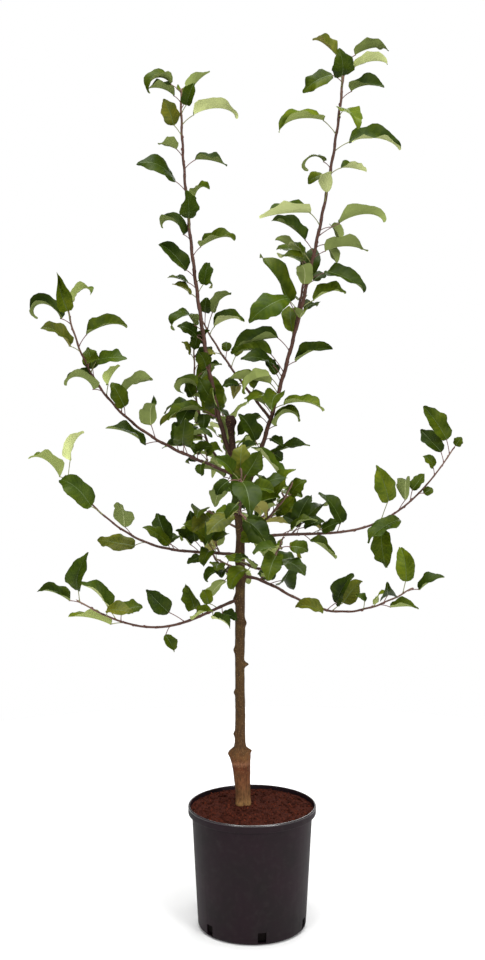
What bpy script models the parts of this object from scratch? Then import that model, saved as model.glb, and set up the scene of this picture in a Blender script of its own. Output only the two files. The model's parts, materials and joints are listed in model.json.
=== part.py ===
"""A young red-fleshed apple tree in a round nursery pot.

Metres, +Z up. The origin is the centre of the pot's flat underside, and the tree is seen from -Y.
The trunk stands on the compost. Every limb is one smooth curve from its parent, given by the place
of its foot and tip and by how steeply it leaves one and reaches the other. Its foot is a bare bough
and the rest is cut into masses of foliage: one stem with spurs and leaves fused on.
"""

import math
import random
from collections import namedtuple

import bmesh
import bpy
import numpy as np
from mathutils.bvhtree import BVHTree

# Clearance between pieces that touch
GAP = 0.0003

# Pot
POT_HEIGHT = 0.232
POT_SIDES = 36
RIM_RADIUS = 0.120
RIM_DEPTH = 0.0145
RIM_WALL = 0.0032
BODY_TOP_RADIUS = 0.1130
BODY_FOOT_RADIUS = 0.1022
FOOT_CORNER = 0.009
POT_WALL = 0.0020
POT_FLOOR = 0.0035
SLOT_COUNT = 6
SLOT_FIRST = 10
SLOT_WIDTH = 0.016
SLOT_TOP = 0.025
SLOT_REACH = 0.012
RECESS_COUNT = 4
RECESS_FIRST = -41
RECESS_ARC = 25
RECESS_HEIGHT = 0.002
RECESS_DEPTH = 0.012

# Compost
COMPOST_TOP = 0.2255
COMPOST_EDGE_DROP = 0.002
COMPOST_EDGE_WIDTH = 0.012

# Trunk: height, place of the middle to the right of the pot's axis, and half width, from the foot up.
# It is the rootstock up to the swollen union at 0.32, and ends in a cut stub.
TRUNK_SIDES = 12
TRUNK_FORM = (
    (0.2258, -0.0171, 0.0148),
    (0.235, -0.0173, 0.0141),
    (0.255, -0.0181, 0.0141),
    (0.280, -0.0194, 0.0156),
    (0.302, -0.0207, 0.0172),
    (0.311, -0.0216, 0.0184),
    (0.318, -0.0221, 0.0200),
    (0.330, -0.0224, 0.0196),
    (0.337, -0.0223, 0.0118),
    (0.346, -0.0222, 0.0101),
    (0.390, -0.0219, 0.0095),
    (0.440, -0.0228, 0.0090),
    (0.500, -0.0236, 0.0088),
    (0.560, -0.0222, 0.0092),
    (0.640, -0.0222, 0.0088),
    (0.700, -0.0228, 0.0090),
    (0.740, -0.0222, 0.0074),
    (0.810, -0.0292, 0.0070),
    (0.880, -0.0345, 0.0066),
    (0.925, -0.0382, 0.0060),
    (0.938, -0.0392, 0.0064),
    (0.946, -0.0397, 0.0088),
    (0.955, -0.0400, 0.0092),
    (0.962, -0.0401, 0.0066),
)
TRUNK_FOOT_BEHIND = 0.022
TRUNK_TOP_BEHIND = 0.000
# Root toes, union ridges, old spurs and collars: height, clock angle seen from above, reach, spread
TRUNK_KNOBS = (
    (0.228, 235, 0.0032, 0.009),
    (0.228, 328, 0.0028, 0.009),
    (0.228, 80, 0.0040, 0.012),
    (0.3245, 186, 0.0034, 0.007),
    (0.331, 354, 0.0032, 0.006),
    (0.496, 0, 0.0085, 0.006),
    (0.575, 350, 0.0035, 0.009),
    (0.523, 185, 0.0032, 0.008),
    (0.442, 180, 0.0030, 0.007),
    (0.362, 175, 0.0030, 0.007),
    (0.700, 180, 0.0045, 0.010),
    (0.620, 190, 0.0045, 0.011),
    (0.662, 0, 0.0035, 0.010),
    (0.735, 20, 0.0030, 0.010),
    (0.950, 330, 0.0030, 0.007),
)

# Limbs
LIMB_SIDES = 6
LIMB_STEP = 0.040
CURVE_STEPS = 160
COLLAR_SWELL = 0.35
COLLAR_LENGTH = 0.008
TIP_TAPER = 0.006
FOOT_CONE = 0.004

# Leaves: one place for a leaf every SLOT along a limb
SLOT = 0.010
SPUR_LENGTH = 0.011
SPUR_RADIUS = 0.0016
LEAF_LENGTH = 0.066
LEAF_WIDTH = 0.039
LEAF_THICK = 0.0012
PETIOLE_LENGTH = 0.025
PETIOLE_RADIUS = 0.0009
MIDRIB_OVER_CHORD = 1.35
LONG_STALK = 1.4
DEPTH_TILT = {"f": 52, "b": -52}
# How far an upper side leans to the viewer, its give, and the least and most fold of its halves, in degrees
FACING = {"d": (38, 12, 0, 38), "p": (-18, 8, 30, 54), "e": (24, 7, 38, 54)}
# The more upright a blade stands, the further it leans over
UPRIGHT_LEAN = 36
BLADE_STEPS = 24
BLADE_CUTS = (8, 17)
# Hulls for judging room: how far they lie outside the leaves and limbs, and their cuts along a blade
HULL_MARGIN = 0.0016
HULL_CUTS = (3, 6, 9, 12, 15, 18, 21)
HULL_STEP = 0.015
# Share of a petiole, from its root, that may touch its own limb and the leaves beside it
SHARED_STALK = 0.5
TURNS = (0, 14, -14, 28, -28, 42, -42, 56, -56, 70, -70)
SPIRAL = 144

UP = np.array((0.0, 0.0, 1.0))
VIEWER = np.array((0.0, -1.0, 0.0))

# A limb's foot is a height on the trunk, or a distance along another limb. Its rise is its slope in
# degrees at foot and tip, and its pull how far each slope holds, as a share of the way between them.
# Its leaves are read from the foot up, a word for each slot: the hour to which the leaf points on
# a clock face seen from the front, then d if its upper side shows, p its pale underside or e both
# with the edge between them, f or b if it comes forward or goes back, l if its stalk is long, c if
# it curls, and its length in centimetres. Leaves joined by + share a spur, a bare number leaves out
# as many slots, a star leaves the slot to the spiral of the shoot, and a bar begins the next mass.
Limb = namedtuple("Limb", "parent foot tip rise pull radii leaves")
LIMBS = {
    "left_upright": Limb(
        "trunk", 0.884, (-0.130, 0.050, 1.558), (48, 92), (0.10, 0.26), (0.0044, 0.0019),
        "8 | 11.9df6+8.5e7+4.1d4+6.1d3 9.8pl3 11d5 9ecl5 1.3d3 2 5.8d9 11.1d4 0.9p3 1.1d3 3 9.9d4 6.5d3"
        " 8.5dc7 5 | 9.9d4 0.4d4 9.4d4 4.4dc3 10.4d7 3 2.7e7 2 9.6ec5 1 0df7 2 2.3dfl5 3 | 9.7d8 3 3.4e6 1"
        " 9.2pf5 3 11.3d5 1 3.2p8 1 0.7e4 1.2p7 9.4e5 11.8p3 8.1ec5 1",
    ),
    "right_upright": Limb(
        "trunk", 0.785, (0.160, -0.050, 1.590), (66, 88), (0.22, 0.26), (0.0042, 0.0021),
        "10 | 2.6dl7 4.2dl3 10.9d6 1 4.2d3 1 2.6ec5 7.7d6 8.1dfl5 9.5pl4 3.3d8 8.4d5 | 6.8d7 9.2p8 7.8pl6"
        " 10.6d4 9.3dl6 9el8 2.4e7 2 8.5el9 1 11.9d6 2 1.1p3 10.9el10 7.9dl9 2.6e6 | 2 11.3df5 2d3 4dl8"
        " 10.4p7 9.3d4 9.8dl3 3.1p8 10e7 5p4 1 3pl8 5pcl3 8.7e10 1 | 2 0.3pf5 3 7.9d3 3.2e5 8dc5 2 3.2e10"
        " 2 8.4el9 2 5.2df8 2 2.9e6 1 11.6df6 8d6 3p6 1 2.9p6 10.1e5",
    ),
    "crossing_shoot": Limb(
        "right_upright", 0.182, (-0.100, 0.090, 1.148), (46, 57), (0.29, 0.41), (0.0027, 0.0015),
        "6 | 1.3d3 1 8.9d3 6.5p3 3 2dl3 1 11.8dl2 8.9d2 4 2.7e6 1.6pl5 0.3dl3",
    ),
    "right_side_shoot": Limb(
        "right_upright", 0.345, (0.104, 0.050, 1.253), (70, 60), (0.25, 0.25), (0.0025, 0.0016),
        "4 | 2.5db4 1 4.5db4 1 0.5df6 1 0.5db6 3 9.5db6 1 9df6 1",
    ),
    "upper_left": Limb(
        "trunk", 0.851, (-0.322, -0.120, 1.159), (28, 79), (0.22, 0.54), (0.0031, 0.0015),
        "6 | 10.1d3+1.7d2+6dc2+3.2d4 8dc2 2.2d3 1 0.3dfl8 3pl5 11.9d3 3 9.8d8 0.6dfl7 6 11.1d5 2.1pl6 | 3"
        " 1.1p4 9.3ec5 2 11.5d4 2.9d6 2.6d3 2 10.1d6 2.7e7 3 9.1ec6 11.6e7 1 2.4pc4 1",
    ),
    "middle_left": Limb(
        "trunk", 0.703, (-0.360, 0.120, 0.842), (4, 47), (0.34, 0.60), (0.0031, 0.0013),
        "4 | 10.3d6+1.2dl4+2.2dl3+7dc4 0.3dl6 8.2d3 11.7dl6 10.6e4 3 10.1d6 11.2d6 2.1d3 4 9.2d8 2 11.9df8"
        " 1 | 5 10.3d8 8 10.1p7 0.9pl6 2",
    ),
    "lower_left": Limb(
        "trunk", 0.621, (-0.308, -0.150, 0.648), (-13, 34), (0.33, 0.60), (0.0030, 0.0013),
        "4 | 3.8d3 11.2d3 3.8e4 1 11.4d5 1 2.1e5 1 10.6dl6 2 5.2d4 8 | 9.5p8 2.6d4 10.4e7 1 3.1dl5 4 9.5e6"
        " 0.6d8 1",
    ),
    "middle_right": Limb(
        "trunk", 0.731, (0.389, 0.120, 0.896), (10, 56), (0.37, 0.58), (0.0031, 0.0013),
        "8 | 2.3d5 1dl6 2dl7+2.5d4 10d4 4.2d6 1 2.1d4 9.3e8 3 10.7d7 6 | 5.8d7 1 11.3dl8 1 7.9d8 1 11.8pf7"
        " 2 1.3d4 1 2.1d2 4 10.5d3 2 10.6d6 1 10.8d8 1.1d2 1",
    ),
    "lower_right": Limb(
        "trunk", 0.664, (0.283, -0.120, 0.664), (1, 34), (0.31, 0.65), (0.0030, 0.0013),
        "4 | 1d3+1.5d4 10.4d4 0.6dfl9 10 9.3d5 0.9d7 1.4dl5 4 | 1 10dl2 1 0.8df4 3.1e5 11.6dfl5 3 11.7d6"
        " 2d5 3",
    ),
    "inner_left_shoot": Limb(
        "trunk", 0.862, (-0.108, 0.060, 1.090), (12, 92), (0.22, 0.62), (0.0024, 0.0014),
        "6 | 9d7 1 8.5db5 8.4d4 8df7 10.7p4 8.5db6 1 6.9d6 8d5 11.1d3 1 1db6 5.5df6 2.3d4 1 1.2d4 1 10.9d3"
        " 1 1.3d3 1 12db7 1",
    ),
    "inner_right_shoot": Limb(
        "trunk", 0.732, (0.070, -0.100, 0.850), (24, 69), (0.20, 0.26), (0.0026, 0.0016),
        "4 | 4.6d4 1 7.6d4 9.9p4 1.9d4 11.3d5 1.6d4 11.2d5 1d7 7.3e5 1.5d4 10.5pl8+11.9d3",
    ),
    "upper_front": Limb(
        "trunk", 0.790, (-0.020, -0.300, 0.890), (8, 50), (0.34, 0.50), (0.0030, 0.0013),
        "6 | * 1 * 1 * 1 * 4.3d5 9.1d3 4.3d5 * 1 * 1 * 1 * 4.2p3 7.2d3 4.5p4 9.7d3 3.2d4 * 1d5 10.4d4"
        " 5.5df8+7.3dl3",
    ),
    "lower_front": Limb(
        "trunk", 0.690, (0.050, -0.270, 0.775), (6, 42), (0.34, 0.50), (0.0030, 0.0013),
        "6 | 9.5db4 1 * 3 10df6 5 3.5db6 1 1df4 3 * 1 6.8df6 4.9d4 3.5d3+8.5d4",
    ),
    "upper_back": Limb(
        "trunk", 0.826, (-0.060, 0.320, 0.985), (14, 60), (0.34, 0.50), (0.0030, 0.0013),
        "6 | * 1 * 1 * 1 * 1 * 1 * 1 * 1 * 1 * 1 * 1 * 1 * 1 * 1 * 1",
    ),
    "right_back": Limb(
        "trunk", 0.750, (0.062, 0.330, 0.845), (10, 52), (0.34, 0.50), (0.0030, 0.0013),
        "6 | * 1 * 1 * 1 * 1 * 1 * 1 * 1 * 1 9.5df6 1 * 1 4.5df6 1 3.5df6 1 4.5db6 1",
    ),
    "left_back": Limb(
        "trunk", 0.655, (-0.110, 0.300, 0.755), (4, 44), (0.34, 0.50), (0.0030, 0.0013),
        "6 | * 3 * 5 0.5df6 1 * 3 * 1 * 1 * 1 7.5db5 1 4.5db5",
    ),
    "left_spur": Limb(
        "trunk", 0.676, (-0.066, -0.018, 0.700), (18, 30), (0.30, 0.30), (0.0022, 0.0015),
        "2 | 7.7ec3+7d4 3.2d2 7.1d4 1",
    ),
    "upper_left_spur": Limb(
        "trunk", 0.752, (-0.082, 0.020, 0.784), (22, 30), (0.30, 0.30), (0.0022, 0.0015),
        "4 | 8df6 1 7.5df6 1",
    ),
}


def unit(vector):
    return vector / np.linalg.norm(vector)


def material(name, colour, roughness):
    made = bpy.data.materials.new(name)
    made.use_nodes = True
    shader = made.node_tree.nodes["Principled BSDF"]
    shader.inputs["Base Color"].default_value = (*colour, 1.0)
    shader.inputs["Roughness"].default_value = roughness
    return made


def add_object(name, mesh, finish=None):
    made = bpy.data.objects.new(name, mesh)
    bpy.context.scene.collection.objects.link(made)
    if finish:
        mesh.materials.append(finish)
    return made


def finish_bmesh(bm, name, finish=None):
    bmesh.ops.recalc_face_normals(bm, faces=bm.faces)
    if bm.calc_volume(signed=True) < 0:
        bmesh.ops.reverse_faces(bm, faces=bm.faces)
    mesh = bpy.data.meshes.new(name)
    bm.to_mesh(mesh)
    bm.free()
    return add_object(name, mesh, finish)


def combine(target, operation, others):
    """Applies one Boolean on a collection of objects to the target, then removes them."""
    group = bpy.data.collections.new("others")
    for other in others:
        group.objects.link(other)
    step = target.modifiers.new(operation, "BOOLEAN")
    step.operation = operation
    step.operand_type = "COLLECTION"
    step.collection = group
    step.solver = "EXACT"
    graph = bpy.context.evaluated_depsgraph_get()
    mesh = bpy.data.meshes.new_from_object(target.evaluated_get(graph))
    target.modifiers.clear()
    target.data = mesh
    for other in others:
        bpy.data.objects.remove(other)
    bpy.data.collections.remove(group)


def skin(bm, rings):
    """Joins rings of equally many points into a closed skin. A ring of one point closes to it.

    The diagonals of the faces start at the even points, so a thin blade's two sides stay apart.
    """
    loops = [[bm.verts.new(point) for point in ring] for ring in rings]
    for lower, upper in zip(loops, loops[1:]):
        count = len(lower)
        for here in range(count):
            there = (here + 1) % count
            if len(upper) == 1:
                bm.faces.new((lower[here], lower[there], upper[0]))
                continue
            if here % 2:
                bm.faces.new((lower[here], lower[there], upper[here]))
                bm.faces.new((lower[there], upper[there], upper[here]))
            else:
                bm.faces.new((lower[here], lower[there], upper[there]))
                bm.faces.new((lower[here], upper[there], upper[here]))
    for loop in (loops[0], loops[-1]):
        if len(loop) > 2:
            bm.faces.new(loop)


# Pot


def pot_outline():
    """Radius and height of the pot's outside, from the underside up to the rim."""
    body_top = POT_HEIGHT - RIM_DEPTH
    corner = [
        (
            BODY_FOOT_RADIUS - FOOT_CORNER * (1 - math.sin(math.radians(turn))),
            FOOT_CORNER * (1 - math.cos(math.radians(turn))),
        )
        for turn in (0, 35, 70)
    ]
    rounding = 0.0022
    return corner + [
        (BODY_TOP_RADIUS, body_top),
        (RIM_RADIUS - rounding, body_top + 0.0004),
        (RIM_RADIUS, body_top + rounding),
        (RIM_RADIUS, POT_HEIGHT - 0.0015),
        (RIM_RADIUS - 0.0012, POT_HEIGHT),
    ]


def pot_inside():
    """Radius and height of the pot's inside, from the rim down to the floor."""
    shelf = POT_HEIGHT - RIM_DEPTH
    wall = [
        (BODY_TOP_RADIUS - POT_WALL, shelf + 0.0005),
        (BODY_FOOT_RADIUS - POT_WALL - 0.0002, FOOT_CORNER + POT_FLOOR),
        (BODY_FOOT_RADIUS - FOOT_CORNER, POT_FLOOR),
    ]
    return [(RIM_RADIUS - RIM_WALL, POT_HEIGHT), (RIM_RADIUS - RIM_WALL - 0.0006, shelf + 0.004)] + wall


def spin_outline(points, name, finish=None):
    """Turns an outline of radius and height round the pot's axis. Its ends lie on the axis."""
    bm = bmesh.new()
    loop = [bm.verts.new((radius, 0, height)) for radius, height in points]
    edges = [bm.edges.new(pair) for pair in zip(loop, loop[1:])]
    bmesh.ops.spin(
        bm, geom=loop + edges, cent=(0, 0, 0), axis=(0, 0, 1), angle=math.tau,
        steps=POT_SIDES, use_merge=True,
    )
    bmesh.ops.remove_doubles(bm, verts=bm.verts, dist=1e-6)
    return finish_bmesh(bm, name, finish)


def cutter(name, centre, size, turn):
    """A box that points out from the pot's axis at a turn in degrees, 0 being the front."""
    bm = bmesh.new()
    bmesh.ops.create_cube(bm, size=1.0)
    bmesh.ops.scale(bm, vec=size, verts=bm.verts)
    bmesh.ops.translate(bm, vec=centre, verts=bm.verts)
    made = finish_bmesh(bm, name)
    made.rotation_euler.z = math.radians(turn - 90)
    return made


def make_pot(finish):
    pot = spin_outline([(0.0, 0.0)] + pot_outline() + pot_inside() + [(0.0, POT_FLOOR)], "pot", finish)
    cutters = []
    for index in range(SLOT_COUNT):
        turn = SLOT_FIRST + index * 360 / SLOT_COUNT
        size = (2 * SLOT_REACH, SLOT_WIDTH, SLOT_TOP - POT_FLOOR - 0.001)
        middle = (SLOT_TOP + POT_FLOOR + 0.001) / 2
        cutters.append(cutter("slot", (BODY_FOOT_RADIUS, 0, middle), size, turn))
    for index in range(RECESS_COUNT):
        turn = RECESS_FIRST + index * 360 / RECESS_COUNT
        width = 2 * BODY_FOOT_RADIUS * math.sin(math.radians(RECESS_ARC / 2))
        size = (2 * RECESS_DEPTH, width, 2 * RECESS_HEIGHT)
        cutters.append(cutter("recess", (BODY_FOOT_RADIUS, 0, 0), size, turn))
    combine(pot, "DIFFERENCE", cutters)
    return pot


def make_compost(finish):
    """Fills the pot's inside, floor and ledge, a little clear of it, up to an edge that falls away."""
    slack = GAP * 1.2
    inside = [(radius - slack, height + slack) for radius, height in pot_inside() if height < COMPOST_TOP]
    top_radius, floor_height = inside[0][0], inside[-1][1]
    edge = [(top_radius, COMPOST_TOP - COMPOST_EDGE_DROP), (top_radius - COMPOST_EDGE_WIDTH, COMPOST_TOP)]
    outline = [(0.0, floor_height)] + inside[::-1] + edge + [(0.0, COMPOST_TOP)]
    return spin_outline(outline, "compost", finish)


# Trunk


def trunk_axis(height):
    """Middle of the trunk and its half width at a height."""
    heights, shifts, widths = zip(*TRUNK_FORM)
    share = (height - heights[0]) / (heights[-1] - heights[0])
    behind = TRUNK_FOOT_BEHIND + (TRUNK_TOP_BEHIND - TRUNK_FOOT_BEHIND) * share
    middle = np.array((np.interp(height, heights, shifts), behind, height))
    return middle, float(np.interp(height, heights, widths))


def trunk_reach(height, angle, half_width):
    """Half width of the trunk towards an angle, with its knobs."""
    reach = half_width * (1 + 0.04 * math.sin(3 * angle + 30 * height))
    for knob_height, knob_angle, knob_reach, spread in TRUNK_KNOBS:
        around = (angle - math.radians(knob_angle) + math.pi) % math.tau - math.pi
        off = math.hypot(around * half_width, height - knob_height) / spread
        reach += knob_reach * math.exp(-2 * off * off)
    return reach


def trunk_heights():
    """Heights of the trunk's rings: those of its form, and those of its knobs."""
    heights = {row[0] for row in TRUNK_FORM} | {row[0] for row in TRUNK_KNOBS}
    kept = []
    for height in sorted(heights):
        if height > TRUNK_FORM[-1][0] or (kept and height - kept[-1] < 0.005):
            continue
        kept.append(height)
    kept[-1] = TRUNK_FORM[-1][0]
    return kept


def trunk_rings(grow=0.0):
    rings = []
    for height in trunk_heights():
        middle, half_width = trunk_axis(height)
        ring = []
        for index in range(TRUNK_SIDES):
            angle = math.tau * index / TRUNK_SIDES
            reach = trunk_reach(height, angle, half_width) + grow
            ring.append(middle + reach * np.array((math.cos(angle), math.sin(angle), 0.0)))
        rings.append(ring)
    if grow:
        rings[0] = [point - grow * UP for point in rings[0]]
        rings[-1] = [point + grow * UP for point in rings[-1]]
    return rings


def make_trunk(finish, name="trunk", grow=0.0):
    bm = bmesh.new()
    skin(bm, trunk_rings(grow))
    return finish_bmesh(bm, name, finish)


# Limbs


class Axis:
    """A limb's middle line, with its length, its thickness and a frame carried along it."""

    def __init__(self, limb, foot):
        tip = np.array(limb.tip)
        heading = (tip - foot) * (1, 1, 0)
        heading = unit(heading)
        span = np.linalg.norm(tip - foot)
        leave, reach = (
            math.cos(math.radians(rise)) * heading + math.sin(math.radians(rise)) * UP for rise in limb.rise
        )
        share = np.linspace(0, 1, CURVE_STEPS + 1)[:, None]
        self.points = (
            (1 - share) ** 3 * foot
            + 3 * share * (1 - share) ** 2 * (foot + leave * span * limb.pull[0])
            + 3 * share**2 * (1 - share) * (tip - reach * span * limb.pull[1])
            + share**3 * tip
        )
        steps = np.linalg.norm(np.diff(self.points, axis=0), axis=1)
        self.distances = np.concatenate(([0], np.cumsum(steps)))
        self.length = float(self.distances[-1])
        self.radii = limb.radii
        self.tangents = np.gradient(self.points, self.distances, axis=0)
        self.tangents /= np.linalg.norm(self.tangents, axis=1)[:, None]
        side = unit(np.cross(self.tangents[0], UP + 0.3 * VIEWER))
        sides = []
        for tangent in self.tangents:
            side = unit(side - tangent * (side @ tangent))
            sides.append(side)
        self.sides = np.array(sides)

    def read(self, table, distance):
        return np.array([np.interp(distance, self.distances, column) for column in table.T])

    def point(self, distance):
        return self.read(self.points, distance)

    def tangent(self, distance):
        return unit(self.read(self.tangents, distance))

    def radius(self, distance):
        foot, tip = self.radii
        taper = tip + (foot - tip) * (1 - distance / self.length)
        return taper + COLLAR_SWELL * foot * math.exp(-distance / COLLAR_LENGTH)

    def ring(self, distance, radius, sides):
        tangent = self.tangent(distance)
        across = self.read(self.sides, distance)
        across = unit(across - tangent * (across @ tangent))
        over = np.cross(tangent, across)
        turns = [math.tau * index / sides for index in range(sides)]
        middle = self.point(distance)
        return [middle + radius * (math.cos(turn) * across + math.sin(turn) * over) for turn in turns]


def make_stem(name, axis, start, end, finish, swell=0.0):
    """The stretch of a limb between two distances. At the limb's own tip it narrows to a bud."""
    steps = max(2, round((end - start) / LIMB_STEP))
    stops = [start + (end - start) * index / steps for index in range(steps + 1)]
    rings = [axis.ring(stop, axis.radius(stop) + swell, LIMB_SIDES) for stop in stops]
    if start == 0.0 and not swell:
        rings[0] = axis.ring(0.0, 0.3 * axis.radius(0.0), LIMB_SIDES)
        rings.insert(1, axis.ring(FOOT_CONE, axis.radius(FOOT_CONE), LIMB_SIDES))
    if end >= axis.length:
        rings[-1] = axis.ring(axis.length - TIP_TAPER, axis.radius(axis.length) + swell, LIMB_SIDES)
        rings.append([axis.point(axis.length)])
    bm = bmesh.new()
    skin(bm, rings)
    return finish_bmesh(bm, name, finish)


def limb_foot(limb, axes):
    if limb.parent == "trunk":
        return trunk_axis(limb.foot)[0]
    return axes[limb.parent].point(limb.foot)


# Leaves

Leaf = namedtuple("Leaf", "limb root petiole chord upper length width arch curl fold twist")


def outline_width(along):
    """Half width of a blade along its midrib, 1 at its widest, drawn out to a short tip."""
    egg = along**0.55 * (1 - along) ** 0.72 / 0.419
    return egg * (1 - 0.45 * np.sin(np.clip((along - 0.68) / 0.26, 0, 1) * math.pi / 2) ** 2)


def blade_frame(leaf):
    """Places along the midrib, with the directions sideways and up out of the blade at each."""
    along = np.linspace(0, 1, BLADE_STEPS + 1)
    slope = leaf.arch * (0.5 - along) - leaf.curl * along**4
    middle = (slope[1:] + slope[:-1]) / 2
    run = np.concatenate(([0], np.cumsum(np.cos(middle)))) / BLADE_STEPS
    rise = np.concatenate(([0], np.cumsum(np.sin(middle)))) / BLADE_STEPS
    midrib = leaf.length * min(MIDRIB_OVER_CHORD, 1 / math.hypot(run[-1], rise[-1]))
    lean = math.atan2(rise[-1], run[-1])
    run, rise = (
        midrib * (run * math.cos(lean) + rise * math.sin(lean)),
        midrib * (rise * math.cos(lean) - run * math.sin(lean)),
    )
    slope = (slope - lean)[:, None]
    base = leaf.root + leaf.petiole
    places = base + run[:, None] * leaf.chord + rise[:, None] * leaf.upper
    across = np.cross(leaf.chord, leaf.upper)
    out = np.cos(slope) * leaf.upper - np.sin(slope) * leaf.chord
    roll = (leaf.twist * along)[:, None]
    return places, np.cos(roll) * across + np.sin(roll) * out, np.cos(roll) * out - np.sin(roll) * across


def blade_edges(leaf, share=1.0):
    """The two edges of a blade, or lines at a share of the way out to them."""
    places, across, out = blade_frame(leaf)
    half = (leaf.width / 2 * share * outline_width(np.linspace(0, 1, BLADE_STEPS + 1)))[:, None]
    lift = half * math.sin(leaf.fold) * out
    spread = half * math.cos(leaf.fold) * across
    return places - spread + lift, places + spread + lift


def carried(side, before, after):
    """A sideways direction carried without twist from one heading to another."""
    return side - (side @ after) / (1 + before @ after) * (before + after)


def leaf_rings(leaf, cuts, margin=0.0, stalk_start=0.0):
    """Sections of a leaf: petiole, cuts across the blade, and its tip, all a margin larger."""
    places, across, out = blade_frame(leaf)
    left, right = blade_edges(leaf)
    half = LEAF_THICK / 2 + margin
    stalk_heading, blade_heading = unit(leaf.petiole), unit(places[1] - places[0])
    joint_heading = unit(stalk_heading + blade_heading)
    sides = [(PETIOLE_RADIUS + margin) * side for side in (across[0], out[0])]
    rings = []
    for place, before, after in (
        (places[0], blade_heading, joint_heading),
        (leaf.root + stalk_start * leaf.petiole, joint_heading, stalk_heading),
    ):
        sides = [carried(side, before, after) for side in sides]
        wide, deep = sides
        rings.insert(0, [place - wide, place + deep, place + wide, place - deep])
    for cut in cuts:
        beyond = margin * across[cut]
        above = half * out[cut]
        rings.append([left[cut] - beyond, places[cut] + above, right[cut] + beyond, places[cut] - above])
    rings.append([places[-1]])
    return rings


def stalk_rings(leaf, start, end):
    """Sections of the stretch of a petiole between two shares of its length, a margin larger."""
    along = unit(leaf.petiole)
    wide = (PETIOLE_RADIUS + HULL_MARGIN) * unit(np.cross(along, UP + 0.3 * VIEWER))
    deep = np.cross(wide, along)
    places = (leaf.root + share * leaf.petiole for share in (start, end))
    return [[place - wide, place + deep, place + wide, place - deep] for place in places]


class Hull:
    """The skins of some runs of rings, with their bounds, ready to be tested against others."""

    def __init__(self, *runs):
        points, faces = [], []
        for rings in runs:
            for lower, upper in zip(rings, rings[1:]):
                count, start = len(lower), len(points)
                points += [*lower, *upper]
                for here in range(count):
                    there = (here + 1) % count
                    if len(upper) == 1:
                        faces.append((start + here, start + there, start + count))
                    else:
                        faces.append((start + here, start + there, start + count + there, start + count + here))
        points = np.array(points)
        self.low, self.high = points.min(axis=0), points.max(axis=0)
        self.tree = BVHTree.FromPolygons(points.tolist(), faces)


class Room:
    """What is already in the crown: a hull for each piece, and the owner that it belongs to."""

    def __init__(self):
        self.hulls, self.owners = [], []

    def add(self, hull, owner):
        self.hulls.append(hull)
        self.owners.append(owner)

    def clear(self, hull, ignored=()):
        """Whether a hull is clear of all that is here, but for what these owners have."""
        for other, owner in zip(self.hulls, self.owners):
            if (hull.low > other.high).any() or (hull.high < other.low).any() or owner in ignored:
                continue
            if hull.tree.overlap(other.tree):
                return False
        return True


def read_word(word):
    """Hour, letters and length of one leaf word."""
    hour = word.rstrip("0123456789").rstrip("abcdefghijklmnopqrstuvwxyz")
    letters = word[len(hour) :].rstrip("0123456789")
    size = word[len(hour) + len(letters) :]
    return float(hour), letters, 0.01 * int(size) if size else LEAF_LENGTH


def toward(hour, tilt):
    """A direction from its hour on the clock face and its tilt towards the viewer in degrees."""
    turn, tilt = math.radians(30 * hour), math.radians(tilt)
    face = math.sin(turn) * np.array((1.0, 0.0, 0.0)) + math.cos(turn) * UP
    return math.cos(tilt) * face + math.sin(tilt) * VIEWER


def aim_leaf(word, slot, tangent, turned, rng):
    """Chord and upper side of a leaf, its length, the fold of its halves in degrees, and whether it curls."""
    if word == "*":
        spin = math.radians(SPIRAL * slot / 2 + turned)
        first = unit(np.cross(tangent, UP + 0.01 * VIEWER))
        out = math.cos(spin) * first + math.sin(spin) * np.cross(tangent, first)
        chord = unit(out + 0.45 * tangent + 0.15 * UP)
        length = LEAF_LENGTH * rng.uniform(0.82, 1.1)
        return chord, unit(UP + 0.35 * tangent), length, rng.uniform(-10, 45), rng.random() < 0.2
    hour, letters, length = read_word(word)
    facing = next((letter for letter in letters if letter in FACING), "d")
    depth = next((DEPTH_TILT[letter] for letter in letters if letter in DEPTH_TILT), None)
    if depth is None:
        depth = rng.uniform(4, 26) * (1 if slot % 2 else -1)
    chord = toward(hour, depth)
    middle, give, least_fold, most_fold = FACING[facing]
    upright = math.copysign(UPRIGHT_LEAN * abs(chord @ UP) ** 4, middle)
    lean = math.radians(middle + upright + rng.uniform(-give, give))
    upper = math.cos(lean) * UP + math.sin(lean) * VIEWER
    return chord, upper, length, rng.uniform(least_fold, most_fold), "c" in letters


def sideways(direction, tangent):
    """The part of a direction that leads away from a limb."""
    out = direction - tangent * (direction @ tangent)
    if np.linalg.norm(out) < 0.1:
        out = np.cross(tangent, UP + 0.3 * VIEWER)
    return unit(out)


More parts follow.
